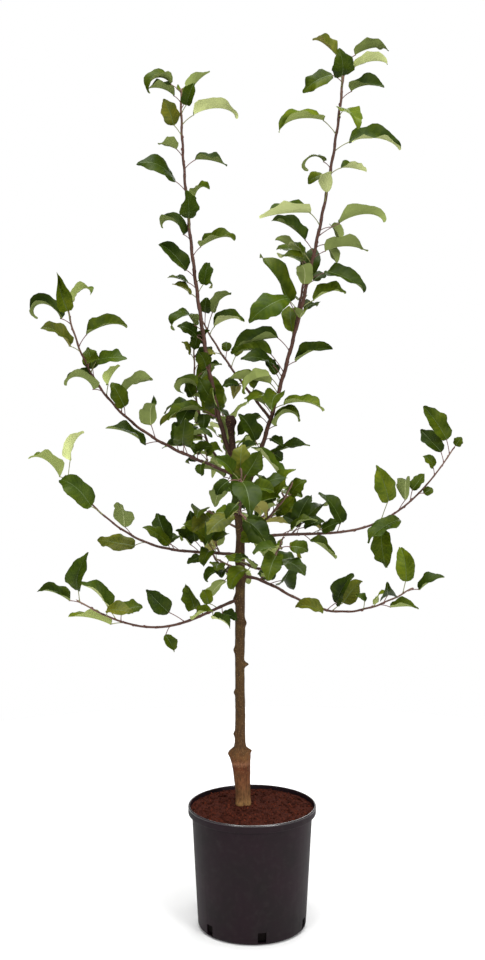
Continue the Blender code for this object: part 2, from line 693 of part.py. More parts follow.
def grow_leaf(limb_name, word, slot, root, tangent, turned, room, rng):
    """A leaf that is clear of all the others, swung forward or back as far as that needs, or None."""
    beside = (limb_name, (limb_name, slot))
    chord, upper, length, fold, curled = aim_leaf(word, slot, tangent, turned, rng)
    size = math.sqrt(length / LEAF_LENGTH)
    petiole = PETIOLE_LENGTH * size * rng.uniform(0.8, 1.15) * (LONG_STALK if "l" in word else 1.0)
    shape = {
        "length": length,
        "width": LEAF_WIDTH * size * rng.uniform(0.9, 1.08),
        "arch": math.radians(rng.uniform(110, 145) if curled else rng.uniform(14, 66)),
        "curl": math.radians(rng.choice((60, 110) if curled else (0, 25, 50))),
        "fold": math.radians(fold),
        "twist": math.radians(max(-70, min(70, rng.gauss(0, 25)))),
    }
    for turn in TURNS:
        swing = math.radians(turn)
        level = unit(chord - VIEWER * (chord @ VIEWER) * 0.999)
        start = math.asin(max(-1.0, min(1.0, float(chord @ VIEWER))))
        aimed = math.cos(start + swing) * level + math.sin(start + swing) * VIEWER
        aimed = unit(aimed)
        lifted = upper - aimed * (upper @ aimed)
        if np.linalg.norm(lifted) < 0.2:
            lifted = VIEWER - aimed * (VIEWER @ aimed)
        lean = 0.85 + 0.35 * (aimed @ tangent)
        stalk = petiole * unit(lean * tangent + sideways(aimed, tangent))
        leaf = Leaf(limb_name, root, stalk, aimed, unit(lifted), **shape)
        outer = Hull(*(leaf_rings(leaf, cuts, HULL_MARGIN, SHARED_STALK) for cuts in (BLADE_CUTS, HULL_CUTS)))
        inner = Hull(stalk_rings(leaf, 0.05, SHARED_STALK))
        if outer.low[2] > POT_HEIGHT and room.clear(outer) and room.clear(inner, beside):
            room.add(outer, None)
            room.add(inner, (limb_name, slot))
            return leaf
    return None


def grow_limb(name, limb, axis, room):
    """The masses of a limb, each with its start, its end, its leaves and its spurs."""
    rng = random.Random(name)
    turned = rng.uniform(0, 360)
    masses, slot = [], 0
    for group in limb.leaves.split("|"):
        leaves, spurs, first = [], [], slot
        for entry in group.split():
            if entry.isdigit():
                slot += int(entry)
                continue
            distance = min(slot * SLOT, axis.length - TIP_TAPER - 0.002)
            slot += 1
            if (slot - 2) * SLOT > axis.length:
                continue
            words = entry.split("+")
            tangent, root = axis.tangent(distance), axis.point(distance)
            if len(words) > 1:
                aims = [toward(read_word(word)[0], 0) for word in words]
                spur = SPUR_LENGTH * unit(0.5 * tangent + sideways(sum(aims), tangent))
                hull = Hull(spur_rings(root, spur, HULL_MARGIN))
                if room.clear(hull, (name,)):
                    room.add(hull, (name, slot))
                    spurs.append((root, spur))
                else:
                    spur = 0.0 * spur
                root = root + 0.6 * spur
            for place, word in enumerate(words):
                start = root + 0.4 * place / len(words) * spur if place else root
                leaf = grow_leaf(name, word, slot, start, tangent, turned, room, rng)
                if leaf:
                    leaves.append(leaf)
        masses.append((first * SLOT, slot * SLOT, leaves, spurs))
    return masses


def make_leaf(leaf):
    """A leaf as a thin closed solid: petiole, two widths of blade and a tip."""
    bm = bmesh.new()
    skin(bm, leaf_rings(leaf, BLADE_CUTS))
    return finish_bmesh(bm, "leaf")


def spur_rings(root, spur, margin=0.0):
    across = unit(np.cross(spur, UP + 0.3 * VIEWER))
    over = unit(np.cross(across, spur))
    ring = [(SPUR_RADIUS + margin) * side for side in (across, over, -across, -over)]
    return [[root + side for side in ring], [root + spur + 0.8 * side for side in ring]]


def make_spur(root, spur):
    bm = bmesh.new()
    skin(bm, spur_rings(root, spur))
    return finish_bmesh(bm, "spur")


def mass_names(name, count):
    if count == 1:
        return [f"{name}_foliage"]
    if count == 2:
        return [f"{name}_inner_foliage", f"{name}_outer_foliage"]
    return [f"{name}_foliage_{index + 1}" for index in range(count)]


def main():
    for old in list(bpy.data.objects):
        bpy.data.objects.remove(old)
    plastic = material("pot plastic", (0.035, 0.032, 0.034), 0.45)
    soil = material("compost", (0.060, 0.022, 0.014), 0.95)
    bark = material("bark", (0.110, 0.065, 0.035), 0.80)
    foliage = material("foliage", (0.055, 0.110, 0.020), 0.50)

    make_pot(plastic)
    make_compost(soil)
    make_trunk(bark)

    axes, room = {}, Room()
    for name, limb in LIMBS.items():
        axes[name] = Axis(limb, limb_foot(limb, axes))
    room.add(Hull(trunk_rings(HULL_MARGIN)), "trunk")
    for name, axis in axes.items():
        stops = np.append(np.arange(0.0, axis.length, HULL_STEP), axis.length)
        rings = [axis.ring(stop, axis.radius(stop) + HULL_MARGIN, LIMB_SIDES) for stop in stops]
        room.add(Hull(rings), name)

    for name, limb in LIMBS.items():
        axis = axes[name]
        bare, *masses = grow_limb(name, limb, axis, room)
        joint = bare[1] - SLOT / 2
        bough = make_stem(f"{name}_bough", axis, 0.0, joint, bark)
        if limb.parent == "trunk":
            sleeve = make_trunk(None, "sleeve", GAP)
        else:
            parent = axes[limb.parent]
            sleeve = make_stem("sleeve", parent, max(0.0, limb.foot - 0.05), limb.foot + 0.05, None, GAP)
        combine(bough, "DIFFERENCE", [sleeve])
        for index, (mass_name, mass) in enumerate(zip(mass_names(name, len(masses)), masses)):
            start, end, leaves, spurs = mass
            begin = start - SLOT / 2 + GAP
            finish = axis.length if index == len(masses) - 1 else end - SLOT / 2
            stem = make_stem(mass_name, axis, begin, finish, foliage)
            pieces = [make_leaf(leaf) for leaf in leaves] + [make_spur(*spur) for spur in spurs]
            if pieces:
                combine(stem, "UNION", pieces)


main()
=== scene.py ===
"""A young red-fleshed apple tree in a round black nursery pot, as it looks.

Metres, +Z up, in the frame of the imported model: the pot stands on z = 0 and the tree is seen from -Y.
The limbs and the places of the leaves follow the same rule as the solids, written again here, and are
carried on to finer things: bark and its marks, buds, petioles, and blades with teeth and veins.
"""

import json
import math
import random
from collections import namedtuple

import bmesh
import bpy
import numpy as np
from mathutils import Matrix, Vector, noise
from mathutils.bvhtree import BVHTree

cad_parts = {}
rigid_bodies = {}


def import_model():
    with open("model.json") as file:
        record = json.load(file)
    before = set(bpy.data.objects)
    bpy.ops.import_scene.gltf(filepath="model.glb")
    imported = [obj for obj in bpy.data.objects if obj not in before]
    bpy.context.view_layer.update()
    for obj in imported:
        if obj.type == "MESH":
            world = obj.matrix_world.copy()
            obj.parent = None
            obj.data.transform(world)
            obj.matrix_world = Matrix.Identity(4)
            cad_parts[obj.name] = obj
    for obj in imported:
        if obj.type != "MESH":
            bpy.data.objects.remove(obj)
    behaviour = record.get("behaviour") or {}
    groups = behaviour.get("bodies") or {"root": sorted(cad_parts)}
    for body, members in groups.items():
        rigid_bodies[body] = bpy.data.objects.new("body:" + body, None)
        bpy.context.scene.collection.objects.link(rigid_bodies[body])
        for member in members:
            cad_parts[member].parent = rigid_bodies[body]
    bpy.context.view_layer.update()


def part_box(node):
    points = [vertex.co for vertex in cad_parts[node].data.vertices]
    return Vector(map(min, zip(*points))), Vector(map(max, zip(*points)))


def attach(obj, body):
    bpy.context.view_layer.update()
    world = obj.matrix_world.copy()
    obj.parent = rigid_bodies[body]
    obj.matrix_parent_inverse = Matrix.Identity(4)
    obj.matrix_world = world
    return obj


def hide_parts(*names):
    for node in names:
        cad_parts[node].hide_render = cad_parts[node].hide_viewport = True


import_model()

# Pot, from its solid
POT_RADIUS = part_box("pot")[1].x
POT_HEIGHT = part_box("pot")[1].z
COMPOST_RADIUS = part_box("compost")[1].x
COMPOST_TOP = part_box("compost")[1].z
POT_STEPS = 180
RIM_DEPTH = 0.0145
RIM_WALL = 0.0032
BODY_TOP_RADIUS = POT_RADIUS - 0.0070
BODY_FOOT_RADIUS = POT_RADIUS - 0.0178
FOOT_CORNER = 0.009
POT_WALL = 0.0020
POT_FLOOR = 0.0035
SLOT_COUNT = 6
SLOT_FIRST = 10
SLOT_WIDTH = 0.016
SLOT_TOP = 0.025
SLOT_REACH = 0.012
RECESS_COUNT = 4
RECESS_FIRST = -41
RECESS_ARC = 25
RECESS_HEIGHT = 0.002
RECESS_DEPTH = 0.012

# Trunk: height, place of the middle to the right of the pot's axis, and half width, from the foot up.
# It is the rootstock up to the swollen union at 0.32, and ends in a cut stub.
TRUNK_SIDES = 12
TRUNK_FORM = (
    (0.2258, -0.0171, 0.0148),
    (0.235, -0.0173, 0.0141),
    (0.255, -0.0181, 0.0141),
    (0.280, -0.0194, 0.0156),
    (0.302, -0.0207, 0.0172),
    (0.311, -0.0216, 0.0184),
    (0.318, -0.0221, 0.0200),
    (0.330, -0.0224, 0.0196),
    (0.337, -0.0223, 0.0118),
    (0.346, -0.0222, 0.0101),
    (0.390, -0.0219, 0.0095),
    (0.440, -0.0228, 0.0090),
    (0.500, -0.0236, 0.0088),
    (0.560, -0.0222, 0.0092),
    (0.640, -0.0222, 0.0088),
    (0.700, -0.0228, 0.0090),
    (0.740, -0.0222, 0.0074),
    (0.810, -0.0292, 0.0070),
    (0.880, -0.0345, 0.0066),
    (0.925, -0.0382, 0.0060),
    (0.938, -0.0392, 0.0064),
    (0.946, -0.0397, 0.0088),
    (0.955, -0.0400, 0.0092),
    (0.962, -0.0401, 0.0066),
)
TRUNK_FOOT_BEHIND = 0.022
TRUNK_TOP_BEHIND = 0.000
# Root toes, union ridges, old spurs and collars: height, clock angle seen from above, reach, spread
TRUNK_KNOBS = (
    (0.228, 235, 0.0032, 0.009),
    (0.228, 328, 0.0028, 0.009),
    (0.228, 80, 0.0040, 0.012),
    (0.3245, 186, 0.0034, 0.007),
    (0.331, 354, 0.0032, 0.006),
    (0.496, 0, 0.0085, 0.006),
    (0.575, 350, 0.0035, 0.009),
    (0.523, 185, 0.0032, 0.008),
    (0.442, 180, 0.0030, 0.007),
    (0.362, 175, 0.0030, 0.007),
    (0.700, 180, 0.0045, 0.010),
    (0.620, 190, 0.0045, 0.011),
    (0.662, 0, 0.0035, 0.010),
    (0.735, 20, 0.0030, 0.010),
    (0.950, 330, 0.0030, 0.007),
)

# Limbs, and the hulls that judge room for a leaf
LIMB_SIDES = 6
CURVE_STEPS = 160
COLLAR_SWELL = 0.35
COLLAR_LENGTH = 0.008
TIP_TAPER = 0.006
HULL_MARGIN = 0.0016
HULL_CUTS = (3, 6, 9, 12, 15, 18, 21)
HULL_STEP = 0.015
SHARED_STALK = 0.5

# Leaves: one place for a leaf every SLOT along a limb
SLOT = 0.010
SPUR_LENGTH = 0.011
SPUR_RADIUS = 0.0016
LEAF_LENGTH = 0.066
LEAF_WIDTH = 0.039
LEAF_THICK = 0.0012
PETIOLE_LENGTH = 0.025
PETIOLE_RADIUS = 0.0009
MIDRIB_OVER_CHORD = 1.35
LONG_STALK = 1.4
DEPTH_TILT = {"f": 52, "b": -52}
FACING = {"d": (38, 12, 0, 38), "p": (-18, 8, 30, 54), "e": (24, 7, 38, 54)}
UPRIGHT_LEAN = 36
BLADE_STEPS = 24
BLADE_CUTS = (8, 17)
TURNS = (0, 14, -14, 28, -28, 42, -42, 56, -56, 70, -70)
SPIRAL = 144

# Finer blades. A ring across one goes over the upper side and back under it, each point with its side of
# the midrib, its share of the way to the margin, and the side of the sheet. The slots are the finishes
# between two points: upper side, under side, and the midrib on each.
VEIN_PAIRS = 9
BLADE_RING = np.array(
    [(-1, 1, 0), (-1, 0.5, 1), (-1, 0, 1), (1, 0, 1), (1, 0.5, 1)]
    + [(1, 1, 0), (1, 0.5, -1), (1, 0, -1), (-1, 0, -1), (-1, 0.5, -1)]
)
BLADE_SLOTS = (0, 0, 2, 0, 0, 1, 1, 3, 1, 1)
BLADE_SHEET = 0.0004
MIDRIB_HALF = 0.0006
MIDRIB_DROP = 0.0007
TOOTH = 0.0005
MARGIN_WAVE = 0.0024
SWEEP = 0.05
RAGGED = 0.08
QUILTING = 0.0007
NODE_STEP = 0.022

# Studio: name, place, what it points at, side and power of each soft light
FLOOR_RADIUS = 1.6
WORLD_LIGHT = 0.2
SOFTBOXES = (
    ("overhead", (0.0, -0.3, 3.8), (0.0, 0.0, 0.8), 2.6, 180),
    ("left", (-1.7, -3.0, 2.2), (0.0, 0.0, 0.9), 1.2, 36),
    ("right", (2.1, -2.7, 1.8), (0.0, 0.0, 0.8), 1.2, 66),
    ("behind", (0.6, 3.0, 2.4), (0.0, 0.0, 0.9), 1.6, 34),
)

UP = np.array((0.0, 0.0, 1.0))
VIEWER = np.array((0.0, -1.0, 0.0))

# A limb's foot is a height on the trunk, or a distance along another limb. Its rise is its slope in
# degrees at foot and tip, and its pull how far each slope holds, as a share of the way between them.
# Its leaves are read from the foot up, a word for each slot: the hour to which the leaf points on
# a clock face seen from the front, then d if its upper side shows, p its pale underside or e both
# with the edge between them, f or b if it comes forward or goes back, l if its stalk is long, c if
# it curls, and its length in centimetres. Leaves joined by + share a spur, a bare number leaves out
# as many slots, a star leaves the slot to the spiral of the shoot, and a bar begins the next mass.
Limb = namedtuple("Limb", "parent foot tip rise pull radii leaves")
LIMBS = {
    "left_upright": Limb(
        "trunk", 0.884, (-0.130, 0.050, 1.558), (48, 92), (0.10, 0.26), (0.0044, 0.0019),
        "8 | 11.9df6+8.5e7+4.1d4+6.1d3 9.8pl3 11d5 9ecl5 1.3d3 2 5.8d9 11.1d4 0.9p3 1.1d3 3 9.9d4 6.5d3"
        " 8.5dc7 5 | 9.9d4 0.4d4 9.4d4 4.4dc3 10.4d7 3 2.7e7 2 9.6ec5 1 0df7 2 2.3dfl5 3 | 9.7d8 3 3.4e6 1"
        " 9.2pf5 3 11.3d5 1 3.2p8 1 0.7e4 1.2p7 9.4e5 11.8p3 8.1ec5 1",
    ),
    "right_upright": Limb(
        "trunk", 0.785, (0.160, -0.050, 1.590), (66, 88), (0.22, 0.26), (0.0042, 0.0021),
        "10 | 2.6dl7 4.2dl3 10.9d6 1 4.2d3 1 2.6ec5 7.7d6 8.1dfl5 9.5pl4 3.3d8 8.4d5 | 6.8d7 9.2p8 7.8pl6"
        " 10.6d4 9.3dl6 9el8 2.4e7 2 8.5el9 1 11.9d6 2 1.1p3 10.9el10 7.9dl9 2.6e6 | 2 11.3df5 2d3 4dl8"
        " 10.4p7 9.3d4 9.8dl3 3.1p8 10e7 5p4 1 3pl8 5pcl3 8.7e10 1 | 2 0.3pf5 3 7.9d3 3.2e5 8dc5 2 3.2e10"
        " 2 8.4el9 2 5.2df8 2 2.9e6 1 11.6df6 8d6 3p6 1 2.9p6 10.1e5",
    ),
    "crossing_shoot": Limb(
        "right_upright", 0.182, (-0.100, 0.090, 1.148), (46, 57), (0.29, 0.41), (0.0027, 0.0015),
        "6 | 1.3d3 1 8.9d3 6.5p3 3 2dl3 1 11.8dl2 8.9d2 4 2.7e6 1.6pl5 0.3dl3",
    ),
    "right_side_shoot": Limb(
        "right_upright", 0.345, (0.104, 0.050, 1.253), (70, 60), (0.25, 0.25), (0.0025, 0.0016),
        "4 | 2.5db4 1 4.5db4 1 0.5df6 1 0.5db6 3 9.5db6 1 9df6 1",
    ),
    "upper_left": Limb(
        "trunk", 0.851, (-0.322, -0.120, 1.159), (28, 79), (0.22, 0.54), (0.0031, 0.0015),
        "6 | 10.1d3+1.7d2+6dc2+3.2d4 8dc2 2.2d3 1 0.3dfl8 3pl5 11.9d3 3 9.8d8 0.6dfl7 6 11.1d5 2.1pl6 | 3"
        " 1.1p4 9.3ec5 2 11.5d4 2.9d6 2.6d3 2 10.1d6 2.7e7 3 9.1ec6 11.6e7 1 2.4pc4 1",
    ),
    "middle_left": Limb(
        "trunk", 0.703, (-0.360, 0.120, 0.842), (4, 47), (0.34, 0.60), (0.0031, 0.0013),
        "4 | 10.3d6+1.2dl4+2.2dl3+7dc4 0.3dl6 8.2d3 11.7dl6 10.6e4 3 10.1d6 11.2d6 2.1d3 4 9.2d8 2 11.9df8"
        " 1 | 5 10.3d8 8 10.1p7 0.9pl6 2",
    ),
    "lower_left": Limb(
        "trunk", 0.621, (-0.308, -0.150, 0.648), (-13, 34), (0.33, 0.60), (0.0030, 0.0013),
        "4 | 3.8d3 11.2d3 3.8e4 1 11.4d5 1 2.1e5 1 10.6dl6 2 5.2d4 8 | 9.5p8 2.6d4 10.4e7 1 3.1dl5 4 9.5e6"
        " 0.6d8 1",
    ),
    "middle_right": Limb(
        "trunk", 0.731, (0.389, 0.120, 0.896), (10, 56), (0.37, 0.58), (0.0031, 0.0013),
        "8 | 2.3d5 1dl6 2dl7+2.5d4 10d4 4.2d6 1 2.1d4 9.3e8 3 10.7d7 6 | 5.8d7 1 11.3dl8 1 7.9d8 1 11.8pf7"
        " 2 1.3d4 1 2.1d2 4 10.5d3 2 10.6d6 1 10.8d8 1.1d2 1",
    ),
    "lower_right": Limb(
        "trunk", 0.664, (0.283, -0.120, 0.664), (1, 34), (0.31, 0.65), (0.0030, 0.0013),
        "4 | 1d3+1.5d4 10.4d4 0.6dfl9 10 9.3d5 0.9d7 1.4dl5 4 | 1 10dl2 1 0.8df4 3.1e5 11.6dfl5 3 11.7d6"
        " 2d5 3",
    ),
    "inner_left_shoot": Limb(
        "trunk", 0.862, (-0.108, 0.060, 1.090), (12, 92), (0.22, 0.62), (0.0024, 0.0014),
        "6 | 9d7 1 8.5db5 8.4d4 8df7 10.7p4 8.5db6 1 6.9d6 8d5 11.1d3 1 1db6 5.5df6 2.3d4 1 1.2d4 1 10.9d3"
        " 1 1.3d3 1 12db7 1",
    ),
    "inner_right_shoot": Limb(
        "trunk", 0.732, (0.070, -0.100, 0.850), (24, 69), (0.20, 0.26), (0.0026, 0.0016),
        "4 | 4.6d4 1 7.6d4 9.9p4 1.9d4 11.3d5 1.6d4 11.2d5 1d7 7.3e5 1.5d4 10.5pl8+11.9d3",
    ),
    "upper_front": Limb(
        "trunk", 0.790, (-0.020, -0.300, 0.890), (8, 50), (0.34, 0.50), (0.0030, 0.0013),
        "6 | * 1 * 1 * 1 * 4.3d5 9.1d3 4.3d5 * 1 * 1 * 1 * 4.2p3 7.2d3 4.5p4 9.7d3 3.2d4 * 1d5 10.4d4"
        " 5.5df8+7.3dl3",
    ),
    "lower_front": Limb(
        "trunk", 0.690, (0.050, -0.270, 0.775), (6, 42), (0.34, 0.50), (0.0030, 0.0013),
        "6 | 9.5db4 1 * 3 10df6 5 3.5db6 1 1df4 3 * 1 6.8df6 4.9d4 3.5d3+8.5d4",
    ),
    "upper_back": Limb(
        "trunk", 0.826, (-0.060, 0.320, 0.985), (14, 60), (0.34, 0.50), (0.0030, 0.0013),
        "6 | * 1 * 1 * 1 * 1 * 1 * 1 * 1 * 1 * 1 * 1 * 1 * 1 * 1 * 1",
    ),
    "right_back": Limb(
        "trunk", 0.750, (0.062, 0.330, 0.845), (10, 52), (0.34, 0.50), (0.0030, 0.0013),
        "6 | * 1 * 1 * 1 * 1 * 1 * 1 * 1 * 1 9.5df6 1 * 1 4.5df6 1 3.5df6 1 4.5db6 1",
    ),
    "left_back": Limb(
        "trunk", 0.655, (-0.110, 0.300, 0.755), (4, 44), (0.34, 0.50), (0.0030, 0.0013),
        "6 | * 3 * 5 0.5df6 1 * 3 * 1 * 1 * 1 7.5db5 1 4.5db5",
    ),
    "left_spur": Limb(
        "trunk", 0.676, (-0.066, -0.018, 0.700), (18, 30), (0.30, 0.30), (0.0022, 0.0015),
        "2 | 7.7ec3+7d4 3.2d2 7.1d4 1",
    ),
    "upper_left_spur": Limb(
        "trunk", 0.752, (-0.082, 0.020, 0.784), (22, 30), (0.30, 0.30), (0.0022, 0.0015),
        "4 | 8df6 1 7.5df6 1",
    ),
}


def unit(vector):
    return vector / np.linalg.norm(vector)


# The rule of the limbs and leaves


def trunk_axis(height):
    """Middle of the trunk and its half width at a height."""
    heights, shifts, widths = zip(*TRUNK_FORM)
    share = (height - heights[0]) / (heights[-1] - heights[0])
    behind = TRUNK_FOOT_BEHIND + (TRUNK_TOP_BEHIND - TRUNK_FOOT_BEHIND) * share
    middle = np.array((np.interp(height, heights, shifts), behind, height))
    return middle, float(np.interp(height, heights, widths))


def trunk_reach(height, angle, half_width):
    """Half width of the trunk towards an angle, with its knobs."""
    reach = half_width * (1 + 0.04 * math.sin(3 * angle + 30 * height))
    for knob_height, knob_angle, knob_reach, spread in TRUNK_KNOBS:
        around = (angle - math.radians(knob_angle) + math.pi) % math.tau - math.pi
        off = math.hypot(around * half_width, height - knob_height) / spread
        reach += knob_reach * math.exp(-2 * off * off)
    return reach


def trunk_heights():
    """Heights of the trunk's rings: those of its form, and those of its knobs."""
    heights = {row[0] for row in TRUNK_FORM} | {row[0] for row in TRUNK_KNOBS}
    kept = []
    for height in sorted(heights):
        if height > TRUNK_FORM[-1][0] or (kept and height - kept[-1] < 0.005):
            continue
        kept.append(height)
    kept[-1] = TRUNK_FORM[-1][0]
    return kept


def trunk_rings(grow=0.0):
    rings = []
    for height in trunk_heights():
        middle, half_width = trunk_axis(height)
        ring = []
        for index in range(TRUNK_SIDES):
            angle = math.tau * index / TRUNK_SIDES
            reach = trunk_reach(height, angle, half_width) + grow
            ring.append(middle + reach * np.array((math.cos(angle), math.sin(angle), 0.0)))
        rings.append(ring)
    if grow:
        rings[0] = [point - grow * UP for point in rings[0]]
        rings[-1] = [point + grow * UP for point in rings[-1]]
    return rings


class Axis:
    """A limb's middle line, with its length, its thickness and a frame carried along it."""

    def __init__(self, limb, foot):
        tip = np.array(limb.tip)
        heading = (tip - foot) * (1, 1, 0)
        heading = unit(heading)
        span = np.linalg.norm(tip - foot)
        leave, reach = (
            math.cos(math.radians(rise)) * heading + math.sin(math.radians(rise)) * UP for rise in limb.rise
        )
        share = np.linspace(0, 1, CURVE_STEPS + 1)[:, None]
        self.points = (
            (1 - share) ** 3 * foot
            + 3 * share * (1 - share) ** 2 * (foot + leave * span * limb.pull[0])
            + 3 * share**2 * (1 - share) * (tip - reach * span * limb.pull[1])
            + share**3 * tip
        )
        steps = np.linalg.norm(np.diff(self.points, axis=0), axis=1)
        self.distances = np.concatenate(([0], np.cumsum(steps)))
        self.length = float(self.distances[-1])
        self.radii = limb.radii
        self.tangents = np.gradient(self.points, self.distances, axis=0)
        self.tangents /= np.linalg.norm(self.tangents, axis=1)[:, None]
        side = unit(np.cross(self.tangents[0], UP + 0.3 * VIEWER))
        sides = []
        for tangent in self.tangents:
            side = unit(side - tangent * (side @ tangent))
            sides.append(side)
        self.sides = np.array(sides)

    def read(self, table, distance):
        return np.array([np.interp(distance, self.distances, column) for column in table.T])

    def point(self, distance):
        return self.read(self.points, distance)

    def tangent(self, distance):
        return unit(self.read(self.tangents, distance))

    def radius(self, distance):
        foot, tip = self.radii
        taper = tip + (foot - tip) * (1 - distance / self.length)
        return taper + COLLAR_SWELL * foot * math.exp(-distance / COLLAR_LENGTH)

    def ring(self, distance, radius, sides):
        tangent = self.tangent(distance)
        across = self.read(self.sides, distance)
        across = unit(across - tangent * (across @ tangent))
        over = np.cross(tangent, across)
        turns = [math.tau * index / sides for index in range(sides)]
        middle = self.point(distance)
        return [middle + radius * (math.cos(turn) * across + math.sin(turn) * over) for turn in turns]


def limb_foot(limb, axes):
    if limb.parent == "trunk":
        return trunk_axis(limb.foot)[0]
    return axes[limb.parent].point(limb.foot)


Leaf = namedtuple("Leaf", "limb root petiole chord upper length width arch curl fold twist")


def outline_width(along):
    """Half width of a blade along its midrib, 1 at its widest, drawn out to a short tip."""
    egg = along**0.55 * (1 - along) ** 0.72 / 0.419
    return egg * (1 - 0.45 * np.sin(np.clip((along - 0.68) / 0.26, 0, 1) * math.pi / 2) ** 2)


def blade_frame(leaf):
    """Places along the midrib, with the directions sideways and up out of the blade at each."""
    along = np.linspace(0, 1, BLADE_STEPS + 1)
    slope = leaf.arch * (0.5 - along) - leaf.curl * along**4
    middle = (slope[1:] + slope[:-1]) / 2
    run = np.concatenate(([0], np.cumsum(np.cos(middle)))) / BLADE_STEPS
    rise = np.concatenate(([0], np.cumsum(np.sin(middle)))) / BLADE_STEPS
    midrib = leaf.length * min(MIDRIB_OVER_CHORD, 1 / math.hypot(run[-1], rise[-1]))
    lean = math.atan2(rise[-1], run[-1])
    run, rise = (
        midrib * (run * math.cos(lean) + rise * math.sin(lean)),
        midrib * (rise * math.cos(lean) - run * math.sin(lean)),
    )
    slope = (slope - lean)[:, None]
    base = leaf.root + leaf.petiole
    places = base + run[:, None] * leaf.chord + rise[:, None] * leaf.upper
    across = np.cross(leaf.chord, leaf.upper)
    out = np.cos(slope) * leaf.upper - np.sin(slope) * leaf.chord
    roll = (leaf.twist * along)[:, None]
    return places, np.cos(roll) * across + np.sin(roll) * out, np.cos(roll) * out - np.sin(roll) * across


def blade_edges(leaf, share=1.0):
    """The two edges of a blade, or lines at a share of the way out to them."""
    places, across, out = blade_frame(leaf)
    half = (leaf.width / 2 * share * outline_width(np.linspace(0, 1, BLADE_STEPS + 1)))[:, None]
    lift = half * math.sin(leaf.fold) * out
    spread = half * math.cos(leaf.fold) * across
    return places - spread + lift, places + spread + lift


def carried(side, before, after):
    """A sideways direction carried without twist from one heading to another."""
    return side - (side @ after) / (1 + before @ after) * (before + after)


def leaf_rings(leaf, cuts, margin=0.0, stalk_start=0.0):
    """Sections of a leaf: petiole, cuts across the blade, and its tip, all a margin larger."""
    places, across, out = blade_frame(leaf)
    left, right = blade_edges(leaf)
    half = LEAF_THICK / 2 + margin
    stalk_heading, blade_heading = unit(leaf.petiole), unit(places[1] - places[0])
    joint_heading = unit(stalk_heading + blade_heading)
    sides = [(PETIOLE_RADIUS + margin) * side for side in (across[0], out[0])]
    rings = []
    for place, before, after in (
        (places[0], blade_heading, joint_heading),
        (leaf.root + stalk_start * leaf.petiole, joint_heading, stalk_heading),
    ):
        sides = [carried(side, before, after) for side in sides]
        wide, deep = sides
        rings.insert(0, [place - wide, place + deep, place + wide, place - deep])
    for cut in cuts:
        beyond = margin * across[cut]
        above = half * out[cut]
        rings.append([left[cut] - beyond, places[cut] + above, right[cut] + beyond, places[cut] - above])
    rings.append([places[-1]])
    return rings


def stalk_rings(leaf, start, end):
    """Sections of the stretch of a petiole between two shares of its length, a margin larger."""
    along = unit(leaf.petiole)
    wide = (PETIOLE_RADIUS + HULL_MARGIN) * unit(np.cross(along, UP + 0.3 * VIEWER))
    deep = np.cross(wide, along)
    places = (leaf.root + share * leaf.petiole for share in (start, end))
    return [[place - wide, place + deep, place + wide, place - deep] for place in places]


class Hull:
    """The skins of some runs of rings, with their bounds, ready to be tested against others."""

    def __init__(self, *runs):
        points, faces = [], []
        for rings in runs:
            for lower, upper in zip(rings, rings[1:]):
                count, start = len(lower), len(points)
                points += [*lower, *upper]
                for here in range(count):
                    there = (here + 1) % count
                    if len(upper) == 1:
                        faces.append((start + here, start + there, start + count))
                    else:
                        faces.append((start + here, start + there, start + count + there, start + count + here))
        points = np.array(points)
        self.low, self.high = points.min(axis=0), points.max(axis=0)
        self.tree = BVHTree.FromPolygons(points.tolist(), faces)


class Room:
    """What is already in the crown: a hull for each piece, and the owner that it belongs to."""

    def __init__(self):
        self.hulls, self.owners = [], []

    def add(self, hull, owner):
        self.hulls.append(hull)
        self.owners.append(owner)

    def clear(self, hull, ignored=()):
        """Whether a hull is clear of all that is here, but for what these owners have."""
        for other, owner in zip(self.hulls, self.owners):
            if (hull.low > other.high).any() or (hull.high < other.low).any() or owner in ignored:
                continue
            if hull.tree.overlap(other.tree):
                return False
        return True


def read_word(word):
    """Hour, letters and length of one leaf word."""
    hour = word.rstrip("0123456789").rstrip("abcdefghijklmnopqrstuvwxyz")
    letters = word[len(hour) :].rstrip("0123456789")
    size = word[len(hour) + len(letters) :]
    return float(hour), letters, 0.01 * int(size) if size else LEAF_LENGTH


def toward(hour, tilt):
    """A direction from its hour on the clock face and its tilt towards the viewer in degrees."""
    turn, tilt = math.radians(30 * hour), math.radians(tilt)
    face = math.sin(turn) * np.array((1.0, 0.0, 0.0)) + math.cos(turn) * UP
    return math.cos(tilt) * face + math.sin(tilt) * VIEWER


def aim_leaf(word, slot, tangent, turned, rng):
    """Chord and upper side of a leaf, its length, the fold of its halves in degrees, and whether it curls."""
    if word == "*":
        spin = math.radians(SPIRAL * slot / 2 + turned)
        first = unit(np.cross(tangent, UP + 0.01 * VIEWER))
        out = math.cos(spin) * first + math.sin(spin) * np.cross(tangent, first)
        chord = unit(out + 0.45 * tangent + 0.15 * UP)
        length = LEAF_LENGTH * rng.uniform(0.82, 1.1)
        return chord, unit(UP + 0.35 * tangent), length, rng.uniform(-10, 45), rng.random() < 0.2
    hour, letters, length = read_word(word)
    facing = next((letter for letter in letters if letter in FACING), "d")
    depth = next((DEPTH_TILT[letter] for letter in letters if letter in DEPTH_TILT), None)
    if depth is None:
        depth = rng.uniform(4, 26) * (1 if slot % 2 else -1)
    chord = toward(hour, depth)
    middle, give, least_fold, most_fold = FACING[facing]
    upright = math.copysign(UPRIGHT_LEAN * abs(chord @ UP) ** 4, middle)
    lean = math.radians(middle + upright + rng.uniform(-give, give))
    upper = math.cos(lean) * UP + math.sin(lean) * VIEWER
    return chord, upper, length, rng.uniform(least_fold, most_fold), "c" in letters


